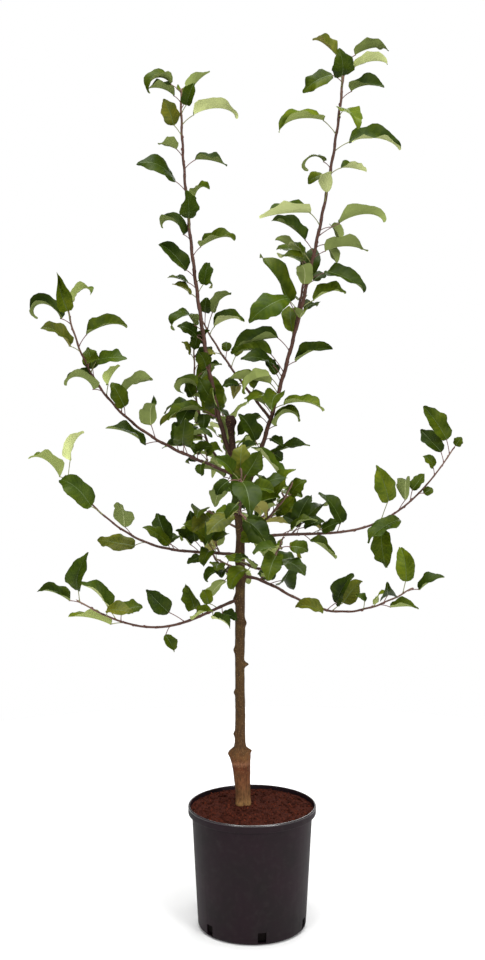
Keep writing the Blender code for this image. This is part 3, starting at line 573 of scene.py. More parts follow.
def sideways(direction, tangent):
    """The part of a direction that leads away from a limb."""
    out = direction - tangent * (direction @ tangent)
    if np.linalg.norm(out) < 0.1:
        out = np.cross(tangent, UP + 0.3 * VIEWER)
    return unit(out)


def grow_leaf(limb_name, word, slot, root, tangent, turned, room, rng):
    """A leaf that is clear of all the others, swung forward or back as far as that needs, or None."""
    beside = (limb_name, (limb_name, slot))
    chord, upper, length, fold, curled = aim_leaf(word, slot, tangent, turned, rng)
    size = math.sqrt(length / LEAF_LENGTH)
    petiole = PETIOLE_LENGTH * size * rng.uniform(0.8, 1.15) * (LONG_STALK if "l" in word else 1.0)
    shape = {
        "length": length,
        "width": LEAF_WIDTH * size * rng.uniform(0.9, 1.08),
        "arch": math.radians(rng.uniform(110, 145) if curled else rng.uniform(14, 66)),
        "curl": math.radians(rng.choice((60, 110) if curled else (0, 25, 50))),
        "fold": math.radians(fold),
        "twist": math.radians(max(-70, min(70, rng.gauss(0, 25)))),
    }
    for turn in TURNS:
        swing = math.radians(turn)
        level = unit(chord - VIEWER * (chord @ VIEWER) * 0.999)
        start = math.asin(max(-1.0, min(1.0, float(chord @ VIEWER))))
        aimed = math.cos(start + swing) * level + math.sin(start + swing) * VIEWER
        aimed = unit(aimed)
        lifted = upper - aimed * (upper @ aimed)
        if np.linalg.norm(lifted) < 0.2:
            lifted = VIEWER - aimed * (VIEWER @ aimed)
        lean = 0.85 + 0.35 * (aimed @ tangent)
        stalk = petiole * unit(lean * tangent + sideways(aimed, tangent))
        leaf = Leaf(limb_name, root, stalk, aimed, unit(lifted), **shape)
        outer = Hull(*(leaf_rings(leaf, cuts, HULL_MARGIN, SHARED_STALK) for cuts in (BLADE_CUTS, HULL_CUTS)))
        inner = Hull(stalk_rings(leaf, 0.05, SHARED_STALK))
        if outer.low[2] > POT_HEIGHT and room.clear(outer) and room.clear(inner, beside):
            room.add(outer, None)
            room.add(inner, (limb_name, slot))
            return leaf
    return None


def grow_limb(name, limb, axis, room):
    """The masses of a limb, each with its start, its end, its leaves and its spurs."""
    rng = random.Random(name)
    turned = rng.uniform(0, 360)
    masses, slot = [], 0
    for group in limb.leaves.split("|"):
        leaves, spurs, first = [], [], slot
        for entry in group.split():
            if entry.isdigit():
                slot += int(entry)
                continue
            distance = min(slot * SLOT, axis.length - TIP_TAPER - 0.002)
            slot += 1
            if (slot - 2) * SLOT > axis.length:
                continue
            words = entry.split("+")
            tangent, root = axis.tangent(distance), axis.point(distance)
            if len(words) > 1:
                aims = [toward(read_word(word)[0], 0) for word in words]
                spur = SPUR_LENGTH * unit(0.5 * tangent + sideways(sum(aims), tangent))
                hull = Hull(spur_rings(root, spur, HULL_MARGIN))
                if room.clear(hull, (name,)):
                    room.add(hull, (name, slot))
                    spurs.append((root, spur))
                else:
                    spur = 0.0 * spur
                root = root + 0.6 * spur
            for place, word in enumerate(words):
                start = root + 0.4 * place / len(words) * spur if place else root
                leaf = grow_leaf(name, word, slot, start, tangent, turned, room, rng)
                if leaf:
                    leaves.append(leaf)
        masses.append((first * SLOT, slot * SLOT, leaves, spurs))
    return masses


def spur_rings(root, spur, margin=0.0):
    across = unit(np.cross(spur, UP + 0.3 * VIEWER))
    over = unit(np.cross(across, spur))
    ring = [(SPUR_RADIUS + margin) * side for side in (across, over, -across, -over)]
    return [[root + side for side in ring], [root + spur + 0.8 * side for side in ring]]


# Materials


class Value:
    """A socket of a material. Arithmetic on it adds the Math nodes that it needs."""

    def __init__(self, finish, socket):
        self.finish, self.socket = finish, socket

    def math(self, operation, *others):
        return self.finish.node("Math", {"operation": operation}, dict(enumerate(others)))

    def __add__(self, other):
        return self.math("ADD", self, other)

    def __sub__(self, other):
        return self.math("SUBTRACT", self, other)

    def __mul__(self, other):
        return self.math("MULTIPLY", self, other)

    def __truediv__(self, other):
        return self.math("DIVIDE", self, other)

    def __pow__(self, other):
        return self.math("POWER", self, other)

    def __rsub__(self, other):
        return self.math("SUBTRACT", other, self)

    __radd__ = __add__
    __rmul__ = __mul__


class Finish:
    """A material being made: its shader, and the nodes that feed it."""

    def __init__(self, name, **settings):
        self.material = bpy.data.materials.new(name)
        self.material.use_nodes = True
        self.nodes = self.material.node_tree.nodes
        self.shader = self.nodes["Principled BSDF"]
        for socket, value in settings.items():
            self.feed(self.socket(socket), value)

    def socket(self, name):
        """A socket of the shader from its name in small letters."""
        return self.shader.inputs[name.replace("_", " ").title().replace("Ior", "IOR")]

    def feed(self, socket, value):
        if isinstance(value, Value):
            self.material.node_tree.links.new(value.socket, socket)
        elif isinstance(value, tuple) and len(value) == 3 and len(socket.default_value) == 4:
            socket.default_value = (*value, 1.0)
        else:
            socket.default_value = value

    def node(self, kind, settings=None, sockets=None, output=0):
        """Adds a node: first its settings, then the values or links of its sockets. Returns an output."""
        made = self.nodes.new("ShaderNode" + kind)
        for name, value in (settings or {}).items():
            if name == "stops":
                ramp = made.color_ramp.elements
                while len(ramp) < len(value):
                    ramp.new(0.5)
                for element, (place, colour) in zip(ramp, value):
                    element.position, element.color = place, (*colour, 1.0)
            else:
                setattr(made, name, value)
        for name, value in (sockets or {}).items():
            self.feed(made.inputs[name], value)
        return Value(self, made.outputs[output])

    def place(self):
        return self.node("TexCoord", output="Object")

    def noise(self, scale, detail=4.0, stretch=None):
        """Noise by place, in features per metre. A stretch scales it along each axis."""
        where = self.place()
        if stretch:
            where = self.node("Mapping", None, {"Vector": where, "Scale": stretch})
        return self.node("TexNoise", None, {"Vector": where, "Scale": scale, "Detail": detail})

    def cells(self, scale, feature="F1", output="Distance", stretch=None):
        where = self.place()
        if stretch:
            where = self.node("Mapping", None, {"Vector": where, "Scale": stretch})
        return self.node("TexVoronoi", {"feature": feature}, {"Vector": where, "Scale": scale}, output)

    def ramp(self, value, *stops):
        return self.node("ValToRGB", {"stops": stops}, {"Fac": value})

    def spread(self, value, low, high):
        """Stretches the values from low to high over 0 to 1, and holds them there."""
        return self.node("MapRange", None, {"Value": value, "From Min": low, "From Max": high})

    def mix(self, share, first, second):
        return self.node("Mix", {"data_type": "RGBA"}, {0: share, 6: first, 7: second}, 2)

    def wear(self, **links):
        """Feeds sockets of the shader that change over the surface."""
        for socket, value in links.items():
            self.feed(self.socket(socket), value)

    def bump(self, height, distance, strength=1.0):
        sockets = {"Height": height, "Distance": distance, "Strength": strength}
        self.feed(self.shader.inputs["Normal"], self.node("Bump", None, sockets))


def colour(code):
    """A colour as the shader takes it, from its red, green and blue in hexadecimal."""
    parts = [int(code[place : place + 2], 16) / 255 for place in (0, 2, 4)]
    return tuple(part / 12.92 if part <= 0.04045 else ((part + 0.055) / 1.055) ** 2.4 for part in parts)


def blade_upper(tone, code):
    finish = Finish(f"blade upper {tone}", roughness=0.5, specular_ior_level=0.08)
    # Painted shade in the furrows over the side veins and painted highlight on the swellings between them
    quilt = finish.node("Attribute", {"attribute_name": "quilt"}, output="Fac")
    cloud = finish.noise(38, 3) + 0.07 * quilt
    base = np.array(colour(code))
    dark, light = base * (0.62, 0.68, 0.8), base * (1.55, 1.34, 1.2)
    finish.wear(base_color=finish.ramp(cloud, (0.3, dark), (0.5, base), (0.74, light)))
    finish.wear(roughness=0.34 + 0.2 * finish.noise(120, 3))
    finish.bump(finish.noise(160, 2), 0.0004, 0.25)
    return finish.material


def blade_under(tone, code):
    finish = Finish(f"blade under {tone}", roughness=0.85, specular_ior_level=0.08)
    cloud = finish.noise(60, 4)
    base = colour(code)
    finish.wear(base_color=finish.mix(cloud, tuple(0.92 * part for part in base), tuple(1.06 * part for part in base)))
    return finish.material


def plain_finish(name, code, roughness, **settings):
    """A finish of one colour with a slight cloudiness."""
    finish = Finish(name, roughness=roughness, **settings)
    base = colour(code)
    cloud = finish.noise(150, 3)
    finish.wear(base_color=finish.mix(cloud, tuple(0.8 * part for part in base), tuple(1.15 * part for part in base)))
    return finish.material


def shoot_finish():
    """Bark of the limbs: grey-brown at the foot, purple-brown and shining beyond, woolly at the tip. The foot's dark
    colour is partly older bark and partly painted shade of the inner crown.
    """
    finish = Finish("shoot bark", roughness=0.5, specular_ior_level=0.25)
    age = finish.node("Attribute", {"attribute_name": "toward_tip"}, output="Fac")
    streaks = finish.noise(160, 4, (1, 1, 0.35))
    young = finish.mix(streaks, colour("35201B"), colour("684639"))
    # Partly real older bark, partly painted shade: the bark at the limbs' feet, inside the crown, is darker than old
    # bark alone would be
    old = finish.mix(streaks, colour("301D16"), colour("4E3226"))
    wool = colour("785E50")
    body = finish.mix(finish.spread(age, 0.02, 0.3), old, young)
    body = finish.mix(finish.spread(age, 0.90, 1.0), body, wool)
    pores = finish.spread(finish.cells(330, stretch=(1, 1, 0.6)), 0.16, 0.1)
    finish.wear(base_color=finish.mix(0.55 * pores, body, colour("8A755A")))
    finish.wear(roughness=0.42 + 0.3 * streaks)
    finish.bump(streaks + 0.6 * pores, 0.0004, 0.6)
    return finish.material


def trunk_finish():
    """Bark of the trunk: rootstock, pale callus at the union, then olive-brown turning red-brown above."""
    finish = Finish("trunk bark", roughness=0.75, specular_ior_level=0.15)
    height = finish.node("SeparateXYZ", None, {0: finish.place()}, "Z")
    wander = 0.012 * (finish.noise(60, 3) - 0.5)
    share = finish.spread(height + wander, 0.22, 0.96)
    tint = finish.ramp(
        share,
        (0.000, colour("9C7848")), (0.030, colour("8C6240")), (0.080, colour("7C4C30")), (0.108, colour("66361F")),
        (0.117, colour("94664A")), (0.123, colour("7A4E30")), (0.145, colour("6A4628")), (0.160, colour("553C24")),
        (0.30, colour("503A20")), (0.62, colour("42301C")), (0.80, colour("3C281E")), (1.00, colour("33201A")),
    )
    streaks = finish.noise(300, 5, (1, 1, 0.3))
    patches = finish.noise(45, 4)
    dark = finish.mix(0.6, tint, colour("2E2016"))
    body = finish.mix(finish.spread(streaks, 0.34, 0.56), dark, tint)
    body = finish.mix(0.4 * finish.spread(patches, 0.5, 0.75), body, colour("6E5A34"))
    pores = finish.spread(finish.cells(330, stretch=(1, 1, 0.8)), 0.24, 0.12)
    body = finish.mix(0.6 * pores, body, colour("A6845A"))
    finish.wear(base_color=body, roughness=0.6 + 0.3 * streaks)
    finish.bump(streaks + 0.5 * patches + 0.5 * pores, 0.0014, 0.9)
    return finish.material


def compost_finish(name, dark, light):
    """Red-brown compost in grains, with painted shade that makes it nearly black low down, at the drainage slots."""
    finish = Finish(name, roughness=0.95, specular_ior_level=0.1)
    grains = finish.noise(420, 6)
    clods = finish.noise(110, 3)
    height = finish.node("SeparateXYZ", None, {0: finish.place()}, "Z")
    # Painted shade: below twice the slots' height the compost darkens to nearly black at their top, where it shows
    # through the drainage slots
    painted_slot_shade = finish.spread(height, 2.0 * SLOT_TOP, SLOT_TOP)
    body = finish.mix(finish.spread(grains + 0.5 * clods, 0.5, 1.0), colour(dark), colour(light))
    finish.wear(base_color=finish.mix(painted_slot_shade, body, colour("0A0504")))
    finish.bump(grains + finish.noise(1500, 3), 0.0012, 0.9)
    return finish.material


def pot_finish():
    """Black-grey moulded plastic, a little cloudy and dusty, with fine vertical drawing marks."""
    finish = Finish("pot plastic", roughness=0.5, specular_ior_level=0.16, coat_roughness=0.25, coat_ior=1.9)
    height = finish.node("SeparateXYZ", None, {0: finish.place()}, "Z")
    finish.wear(coat_weight=finish.spread(height, POT_HEIGHT - 0.0034, POT_HEIGHT - 0.0018))
    cloud = finish.noise(14, 4)
    marks = finish.noise(160, 3, (1, 1, 0.06))
    body = finish.mix(finish.spread(cloud, 0.3, 0.7), colour("1C0A14"), colour("161012"))
    finish.wear(base_color=finish.mix(0.2 * finish.spread(finish.noise(90, 6), 0.5, 0.8), body, colour("33302E")))
    finish.wear(roughness=0.48 + 0.16 * cloud + 0.08 * marks)
    finish.bump(marks + 0.4 * finish.noise(900, 2), 0.00025, 0.35)
    return finish.material


# Building


def add_piece(name, mesh, finishes, node_slot, *nodes):
    """A piece of the plant in its place, riding on the plant's body, which stands for some solids."""
    made = bpy.data.objects.new(name, mesh)
    bpy.context.scene.collection.objects.link(made)
    for finish in finishes:
        mesh.materials.append(finish)
    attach(made, "root")
    if nodes:
        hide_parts(*nodes)
    return made


def mesh_of(bm, name, smooth_angle=40):
    bmesh.ops.recalc_face_normals(bm, faces=bm.faces)
    mesh = bpy.data.meshes.new(name)
    bm.to_mesh(mesh)
    bm.free()
    mesh.shade_smooth()
    mesh.set_sharp_from_angle(angle=math.radians(smooth_angle))
    return mesh


def ring_faces(count, sides):
    """Corners of the faces that close a run of rings: its walls, and a strip of quads over each end."""
    grid = np.arange(count * sides).reshape(count, sides)
    turned = np.roll(grid, -1, axis=1)
    walls = np.stack([grid[:-1], turned[:-1], turned[1:], grid[1:]], axis=-1).reshape(-1, 4)
    near = np.arange(sides // 2 - 1)
    cap = np.stack([near, near + 1, sides - 2 - near, sides - 1 - near], axis=-1)
    return np.concatenate([walls, cap[:, ::-1], cap + (count - 1) * sides])


def tubes(name, lines, sides):
    """One mesh of closed round tubes, each a run of points with its half width at each."""
    turns = np.arange(sides) * math.tau / sides
    points, faces, start = [], [], 0
    for line, radii in lines:
        tangents = [unit(step) for step in np.gradient(line, axis=0)]
        side = sideways(UP + 0.02 * VIEWER, tangents[0])
        for index, (middle, tangent, radius) in enumerate(zip(line, tangents, radii)):
            side = carried(side, tangents[max(0, index - 1)], tangent)
            other = np.cross(tangent, side)
            points.append(middle + radius * (np.outer(np.cos(turns), side) + np.outer(np.sin(turns), other)))
        faces.append(ring_faces(len(line), sides) + start)
        start += len(line) * sides
    return joined_mesh(name, np.concatenate(points), np.concatenate(faces))


# Pot and compost


def arc(middle, radius, start, end, steps):
    """Points of radius and height round a middle, from one angle in degrees to another."""
    turns = np.radians(np.linspace(start, end, steps + 1))
    return [(middle[0] + radius * math.cos(turn), middle[1] + radius * math.sin(turn)) for turn in turns]


def pot_section():
    """Radius and height round the pot's whole wall, from the middle of its underside out and back in."""
    shelf = POT_HEIGHT - RIM_DEPTH
    corner = FOOT_CORNER
    under = [(BODY_FOOT_RADIUS - corner - 0.012, 0.0)]
    foot = arc((BODY_FOOT_RADIUS - corner, corner), corner, -90, -8, 7)
    neck = [(BODY_TOP_RADIUS, shelf - 0.0002)]
    lip_low = arc((POT_RADIUS - 0.0012, shelf + 0.0010), 0.0012, -90, 0, 4)
    roll, crease = 0.0024, RIM_WALL - 0.0024
    lip_top = arc((POT_RADIUS - roll, POT_HEIGHT - roll), roll, 0, 90, 8)
    lip_top += arc((POT_RADIUS - roll, POT_HEIGHT - crease), crease, 90, 180, 4)[1:]
    inside = [
        (POT_RADIUS - RIM_WALL - 0.0006, shelf + 0.004),
        (BODY_TOP_RADIUS - POT_WALL, shelf + 0.0005),
        (BODY_FOOT_RADIUS - POT_WALL - 0.0002, corner + POT_FLOOR),
        (BODY_FOOT_RADIUS - corner, POT_FLOOR),
    ]
    return [(0.0, 0.0)] + under + foot + neck + lip_low + lip_top + inside + [(0.0, POT_FLOOR)]


def spin_section(points, steps):
    bm = bmesh.new()
    loop = [bm.verts.new((radius, 0.0, height)) for radius, height in points]
    edges = [bm.edges.new(pair) for pair in zip(loop, loop[1:])]
    bmesh.ops.spin(
        bm, geom=loop + edges, cent=(0, 0, 0), axis=(0, 0, 1), angle=math.tau, steps=steps, use_merge=True,
    )
    bmesh.ops.remove_doubles(bm, verts=bm.verts, dist=1e-6)
    return bm


def pot_cutter(radius, height, size, turn, corner):
    """A box with rounded edges that points out from the pot's axis at a turn in degrees from the front."""
    bm = bmesh.new()
    bmesh.ops.create_cube(bm, size=1.0)
    bmesh.ops.scale(bm, vec=size, verts=bm.verts)
    along = [edge for edge in bm.edges if abs((edge.verts[0].co - edge.verts[1].co).x) > 1e-6]
    bmesh.ops.bevel(bm, geom=along, offset=corner, segments=3, profile=0.5, affect="EDGES", material=-1)
    bmesh.ops.translate(bm, vec=(radius, 0, height), verts=bm.verts)
    made = bpy.data.objects.new("cutter", mesh_of(bm, "cutter"))
    made.rotation_euler.z = math.radians(turn - 90)
    return made


def make_pot(finish):
    made = add_piece("pot_shell", mesh_of(spin_section(pot_section(), POT_STEPS), "pot_shell"), [finish], "pot_plastic", "pot")
    cutters = []
    for index in range(SLOT_COUNT):
        size = (2 * SLOT_REACH, SLOT_WIDTH, SLOT_TOP - POT_FLOOR - 0.001)
        middle = (SLOT_TOP + POT_FLOOR + 0.001) / 2
        turn = SLOT_FIRST + index * 360 / SLOT_COUNT
        cutters.append(pot_cutter(BODY_FOOT_RADIUS, middle, size, turn, 0.0012))
    for index in range(RECESS_COUNT):
        width = 2 * BODY_FOOT_RADIUS * math.sin(math.radians(RECESS_ARC / 2))
        turn = RECESS_FIRST + index * 360 / RECESS_COUNT
        size = (2 * RECESS_DEPTH, width, 2 * RECESS_HEIGHT)
        cutters.append(pot_cutter(BODY_FOOT_RADIUS, 0.0, size, turn, 0.0006))
    group = bpy.data.collections.new("cutters")
    for cutter in cutters:
        group.objects.link(cutter)
    step = made.modifiers.new("openings", "BOOLEAN")
    step.operation, step.operand_type, step.collection, step.solver = "DIFFERENCE", "COLLECTION", group, "EXACT"
    made.data = bpy.data.meshes.new_from_object(made.evaluated_get(bpy.context.evaluated_depsgraph_get()))
    made.modifiers.clear()
    made.data.set_sharp_from_angle(angle=math.radians(40))
    for cutter in cutters:
        bpy.data.objects.remove(cutter)
    bpy.data.collections.remove(group)


def compost_height(x, y):
    """Height of the compost's surface at a place."""
    out = math.hypot(x, y) / COMPOST_RADIUS
    rough = 0.0011 * noise.noise((x * 90, y * 90, 0.0)) + 0.0007 * noise.noise((x * 260, y * 260, 4.0))
    slow = 0.0015 * noise.noise((x * 22, y * 22, 9.0))
    return COMPOST_TOP - 0.0006 + rough + slow - 0.0012 * max(0.0, (out - 0.86) / 0.14) ** 1.5


def make_compost(finish, crumb_finishes, rng):
    edge = COMPOST_RADIUS - 0.0002
    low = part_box("compost")[0].z
    foot = BODY_FOOT_RADIUS - FOOT_CORNER - 0.0004
    ledge = POT_HEIGHT - RIM_DEPTH
    section = [(0.0, low), (foot, low), (BODY_FOOT_RADIUS - POT_WALL - 0.0007, FOOT_CORNER + POT_FLOOR)]
    section += [(BODY_TOP_RADIUS - POT_WALL - 0.0004, ledge + 0.0009), (edge, ledge + 0.0044)]
    section += [(edge * share, COMPOST_TOP) for share in np.linspace(1, 0, 56)]
    bm = spin_section(section, 200)
    for vert in bm.verts:
        if vert.co.z > COMPOST_TOP - 1e-6:
            vert.co.z = compost_height(vert.co.x, vert.co.y)
    add_piece("compost_body", mesh_of(bm, "compost_body", 80), [finish], "compost", "compost")
    ball = bmesh.new()
    bmesh.ops.create_icosphere(ball, subdivisions=1, radius=1.0)
    shape = np.array([vert.co for vert in ball.verts])
    corners = np.array([[vert.index for vert in face.verts] for face in ball.faces])
    ball.free()
    for tone, (finish, count, largest) in enumerate(crumb_finishes):
        points = []
        for _ in range(count):
            turn, out = rng.uniform(0, math.tau), edge * math.sqrt(rng.random()) * 0.985
            x, y = out * math.cos(turn), out * math.sin(turn)
            size = 0.0006 + largest * rng.random() ** 3
            stretch = np.array([rng.uniform(0.6, 1.6), rng.uniform(0.5, 1.1), rng.uniform(0.4, 0.8)]) * size
            spin = np.linalg.qr(np.array([[rng.gauss(0, 1) for _ in range(3)] for _ in range(3)]))[0]
            rough = 1 + 0.25 * np.array([rng.uniform(-1, 1) for _ in shape])[:, None]
            middle = np.array((x, y, compost_height(x, y) + 0.25 * size))
            points.append(middle + (shape * rough * stretch) @ spin.T)
        faces = np.concatenate([corners + len(shape) * index for index in range(count)])
        mesh = joined_mesh(f"compost_crumbs_{tone + 1}", np.concatenate(points), faces)
        add_piece(mesh.name, mesh, [finish], "compost")


def joined_mesh(name, points, faces, slots=None):
    """A smooth mesh from arrays: points, faces of equally many corners, and the slot of each face."""
    mesh = bpy.data.meshes.new(name)
    count, corners = faces.shape
    mesh.vertices.add(len(points))
    mesh.vertices.foreach_set("co", points.astype(np.float32).ravel())
    mesh.loops.add(count * corners)
    mesh.loops.foreach_set("vertex_index", faces.astype(np.int32).ravel())
    mesh.polygons.add(count)
    mesh.polygons.foreach_set("loop_start", np.arange(count, dtype=np.int32) * corners)
    mesh.polygons.foreach_set("use_smooth", np.ones(count, bool))
    if slots is not None:
        mesh.polygons.foreach_set("material_index", slots.astype(np.int32))
    mesh.update(calc_edges=True)
    mesh.validate()
    return mesh


# Trunk and limbs


def make_trunk(finish):
    sides, step = 64, 0.0022
    bottom, top = TRUNK_FORM[0][0] - 0.004, TRUNK_FORM[-1][0]
    heights = np.linspace(bottom, top, round((top - bottom) / step))
    rings = []
    for height in heights:
        middle, half = trunk_axis(max(height, TRUNK_FORM[0][0]))
        for angle in np.arange(sides) * math.tau / sides:
            place = Vector((half * math.cos(angle), half * math.sin(angle), height))
            relief = 0.0005 * noise.noise(Vector((place.x * 160, place.y * 160, place.z * 45)))
            relief += 0.0004 * noise.noise(Vector((place.x * 420, place.y * 420, place.z * 120)))
            reach = trunk_reach(height, angle, half) + relief
            rings.append((middle[0] + reach * math.cos(angle), middle[1] + reach * math.sin(angle), height))
    mesh = joined_mesh("trunk_bark", np.array(rings), ring_faces(len(heights), sides))
    add_piece("trunk_bark", mesh, [finish], "bark", "trunk")


def limb_line(name, axis):
    """Points and half widths along a limb: a slight bend and a swelling at each node."""
    rng = random.Random(name + " wood")
    count = max(12, round(axis.length / 0.0035))
    stops = np.linspace(0.0, axis.length, count)
    points, radii = [], []
    bend = rng.uniform(0, math.pi)
    for stop in stops:
        tangent = axis.tangent(stop)
        side = unit(np.cross(tangent, math.cos(bend) * UP + math.sin(bend) * VIEWER + 0.01))
        node = stop / NODE_STEP
        near = abs(node - round(node)) * NODE_STEP
        zigzag = 0.0006 * math.sin(math.pi * node) * min(1.0, stop / 0.03)
        points.append(axis.point(stop) + zigzag * side)
        swell = 1 + 0.18 * math.exp(-((near / 0.0024) ** 2)) * (stop > 0.02)
        taper = min(1.0, (axis.length - stop) / 0.004 + 0.25)
        radii.append(axis.radius(stop) * swell * taper)
    return np.array(points), radii


def make_limb(name, axis, finish, *nodes):
    sides = 14
    points, radii = limb_line(name, axis)
    mesh = tubes(f"{name}_bark", [(points, radii)], sides)
    share = np.repeat(np.linspace(0, 1, len(points)), sides)
    old = np.clip(share * axis.length / 0.8, 0, 1) * 0.9
    tip = np.clip((share * axis.length - axis.length + 0.09) / 0.09, 0, 1)
    age = np.maximum(old, 0.9 + 0.1 * tip) * (tip > 0) + old * (tip == 0)
    attribute = mesh.attributes.new("toward_tip", "FLOAT", "POINT")
    attribute.data.foreach_set("value", age.astype(np.float32))
    add_piece(f"{name}_bark", mesh, [finish], "bark", *nodes)


def bud_lines(name, axis):
    """The small pointed bud that lies against the limb at each node."""
    rng = random.Random(name + " buds")
    lines, start = [], rng.uniform(0, 360)
    for node in range(2, int(axis.length / NODE_STEP) + 1):
        stop = min(node * NODE_STEP + 0.002, axis.length - 0.004)
        tangent = axis.tangent(stop)
        first = unit(np.cross(tangent, UP + 0.01 * VIEWER))
        turn = math.radians(start + SPIRAL * node)
        out = math.cos(turn) * first + math.sin(turn) * np.cross(tangent, first)
        foot = axis.point(stop) + 0.6 * axis.radius(stop) * out
        size = rng.uniform(0.8, 1.2)
        steps = ((0.0, 0.0), (0.0013, 0.0007), (0.0030, 0.0010), (0.0048, 0.0009))
        points = [foot + size * (along * tangent + away * out) for along, away in steps]
        lines.append((np.array(points), [0.0008 * size, 0.0013 * size, 0.0010 * size, 0.0002]))
    return lines


# Leaves, fine


def blade_rows():
    """The rows across a blade: place on the midrib, rise of the sheet there, and whether a vein ends in a tooth."""
    feet = np.linspace(0.07, 0.93, VEIN_PAIRS)
    between = (feet[1:] + feet[:-1]) / 2
    ends = [(place, 0, 0) for place in (0.0, 0.02, 0.975, 1.0)]
    rows = ends + [(foot, -1, 1) for foot in feet] + [(place, 1, 0) for place in between]
    return np.array(sorted(rows))


def blade_points(leaf, rows, rng):
    """Rings across a blade: over its upper side from margin to margin, and back along its under side."""
    on_rib, bulge, tooth = rows.T[:, :, None]
    side, share, face = BLADE_RING.T[:, None]
    at_margin = 1 - (1 - on_rib) ** 1.7
    phases = np.where(side < 0, rng.uniform(0, math.tau), rng.uniform(0, math.tau))
    ragged = 1 + RAGGED * np.sin(math.tau * rng.uniform(1.8, 3.6) * on_rib + phases)
    half = leaf.width / 2 * outline_width(at_margin) ** rng.uniform(0.68, 0.95) * ragged
    rib = MIDRIB_HALF * (1 - 0.7 * on_rib)
    half = np.maximum(half - TOOTH * (1 - tooth) * (half > 0.004), 1.3 * rib)
    along = on_rib + (at_margin - on_rib) * share**1.15
    out = rib + (half - rib) * share
    places, across, lift = blade_frame(leaf)
    stations = np.linspace(0, 1, BLADE_STEPS + 1)
    middle, level, upward = (
        np.stack([np.interp(along, stations, column) for column in table.T], axis=-1)
        for table in (places, across, lift)
    )
    wave = MARGIN_WAVE * share**2 * np.sin(math.tau * rng.uniform(1.4, 2.8) * along + phases)
    wave += 0.35 * MARGIN_WAVE * share**2 * np.sin(math.tau * rng.uniform(3.2, 4.6) * along + 2 * phases)
    wave *= leaf.length / LEAF_LENGTH
    sweep = rng.uniform(-1, 1) * SWEEP * leaf.length * np.sin(math.pi * along)
    fold = leaf.fold * (1 + rng.uniform(-0.45, 0.45) * np.cos(math.pi * along))
    crown = rng.uniform(-0.08, 0.2) * half * np.sin(math.pi * share)
    height = out * np.sin(fold) + crown + wave + QUILTING * bulge * np.sin(math.pi * share)
    height += face * BLADE_SHEET / 2 - (share == 0) * MIDRIB_DROP * (1 - on_rib) * np.where(face > 0, 0.3, 1.0)
    return middle + (sweep + side * out * np.cos(fold))[..., None] * level + height[..., None] * upward


def make_blades(name, leaves, finishes, *nodes):
    rows = blade_rows()
    sides = len(BLADE_RING)
    faces = ring_faces(len(rows), sides)
    slots = np.concatenate([np.tile(BLADE_SLOTS, len(rows) - 1), np.full(sides - 2, 1)])
    # The under side's quads start from the next corner, so that both skins bend along the same diagonal
    under = np.flatnonzero(np.isin(slots, (1, 3)))
    faces[under] = np.roll(faces[under], -1, axis=1)
    rng = random.Random(name)
    points = np.concatenate([blade_points(leaf, rows, rng).reshape(-1, 3) for leaf in leaves])
    shifted = np.concatenate([faces + index * len(rows) * sides for index in range(len(leaves))])
    mesh = joined_mesh(name, points, shifted, np.tile(slots, len(leaves)))
    # Painted shade and highlight of the quilted blade: below zero in the furrows over the side veins, above zero on
    # the swellings between them
    quilt = np.outer(rows[:, 1], np.sin(math.pi * BLADE_RING[:, 1])).ravel()
    attribute = mesh.attributes.new("quilt", "FLOAT", "POINT")
    attribute.data.foreach_set("value", np.tile(quilt, len(leaves)).astype(np.float32))
    mesh.set_sharp_from_angle(angle=math.radians(60))
    add_piece(name, mesh, finishes, "foliage", *nodes)


def petiole_line(leaf):
    """A leaf's stalk, from within the shoot to the foot of its blade."""
    share = np.linspace(0, 1, 9)[:, None]
    start = leaf.root + 0.04 * leaf.petiole
    end = blade_frame(leaf)[0][0] + 0.0015 * leaf.chord
    bend = start + 0.5 * leaf.petiole + 0.0030 * UP
    points = (1 - share) ** 2 * start + 2 * share * (1 - share) * bend + share**2 * end
    radii = 0.00075 + 0.0007 * np.exp(-share[:, 0] / 0.09) + 0.0002 * share[:, 0] ** 3
    return points, radii.tolist()


def mass_names(name, count):
    if count == 1:
        return [f"{name}_foliage"]
    if count == 2:
        return [f"{name}_inner_foliage", f"{name}_outer_foliage"]
    return [f"{name}_foliage_{index + 1}" for index in range(count)]


TONES = {
    "deep": ("2B3A07", "78844A"),
    "mid": ("3D4B07", "849052"),
    "fresh": ("52610F", "98A45E"),
    "pale": ("38490A", "BCC484"),
    "olive": ("545918", "8C8848"),
}
# Shares of the tones at a limb's foot and at its tip. The tip's lighter mix, with more pale undersides, is painted
# light on the outer crown, and the foot's darker mix is painted shade within it.
TONE_SHARES = {"deep": (42, 28), "mid": (32, 26), "fresh": (12, 10), "pale": (5, 26), "olive": (9, 10)}

STALK_TINTS = {"red": "6C4640", "green": "7E8048"}


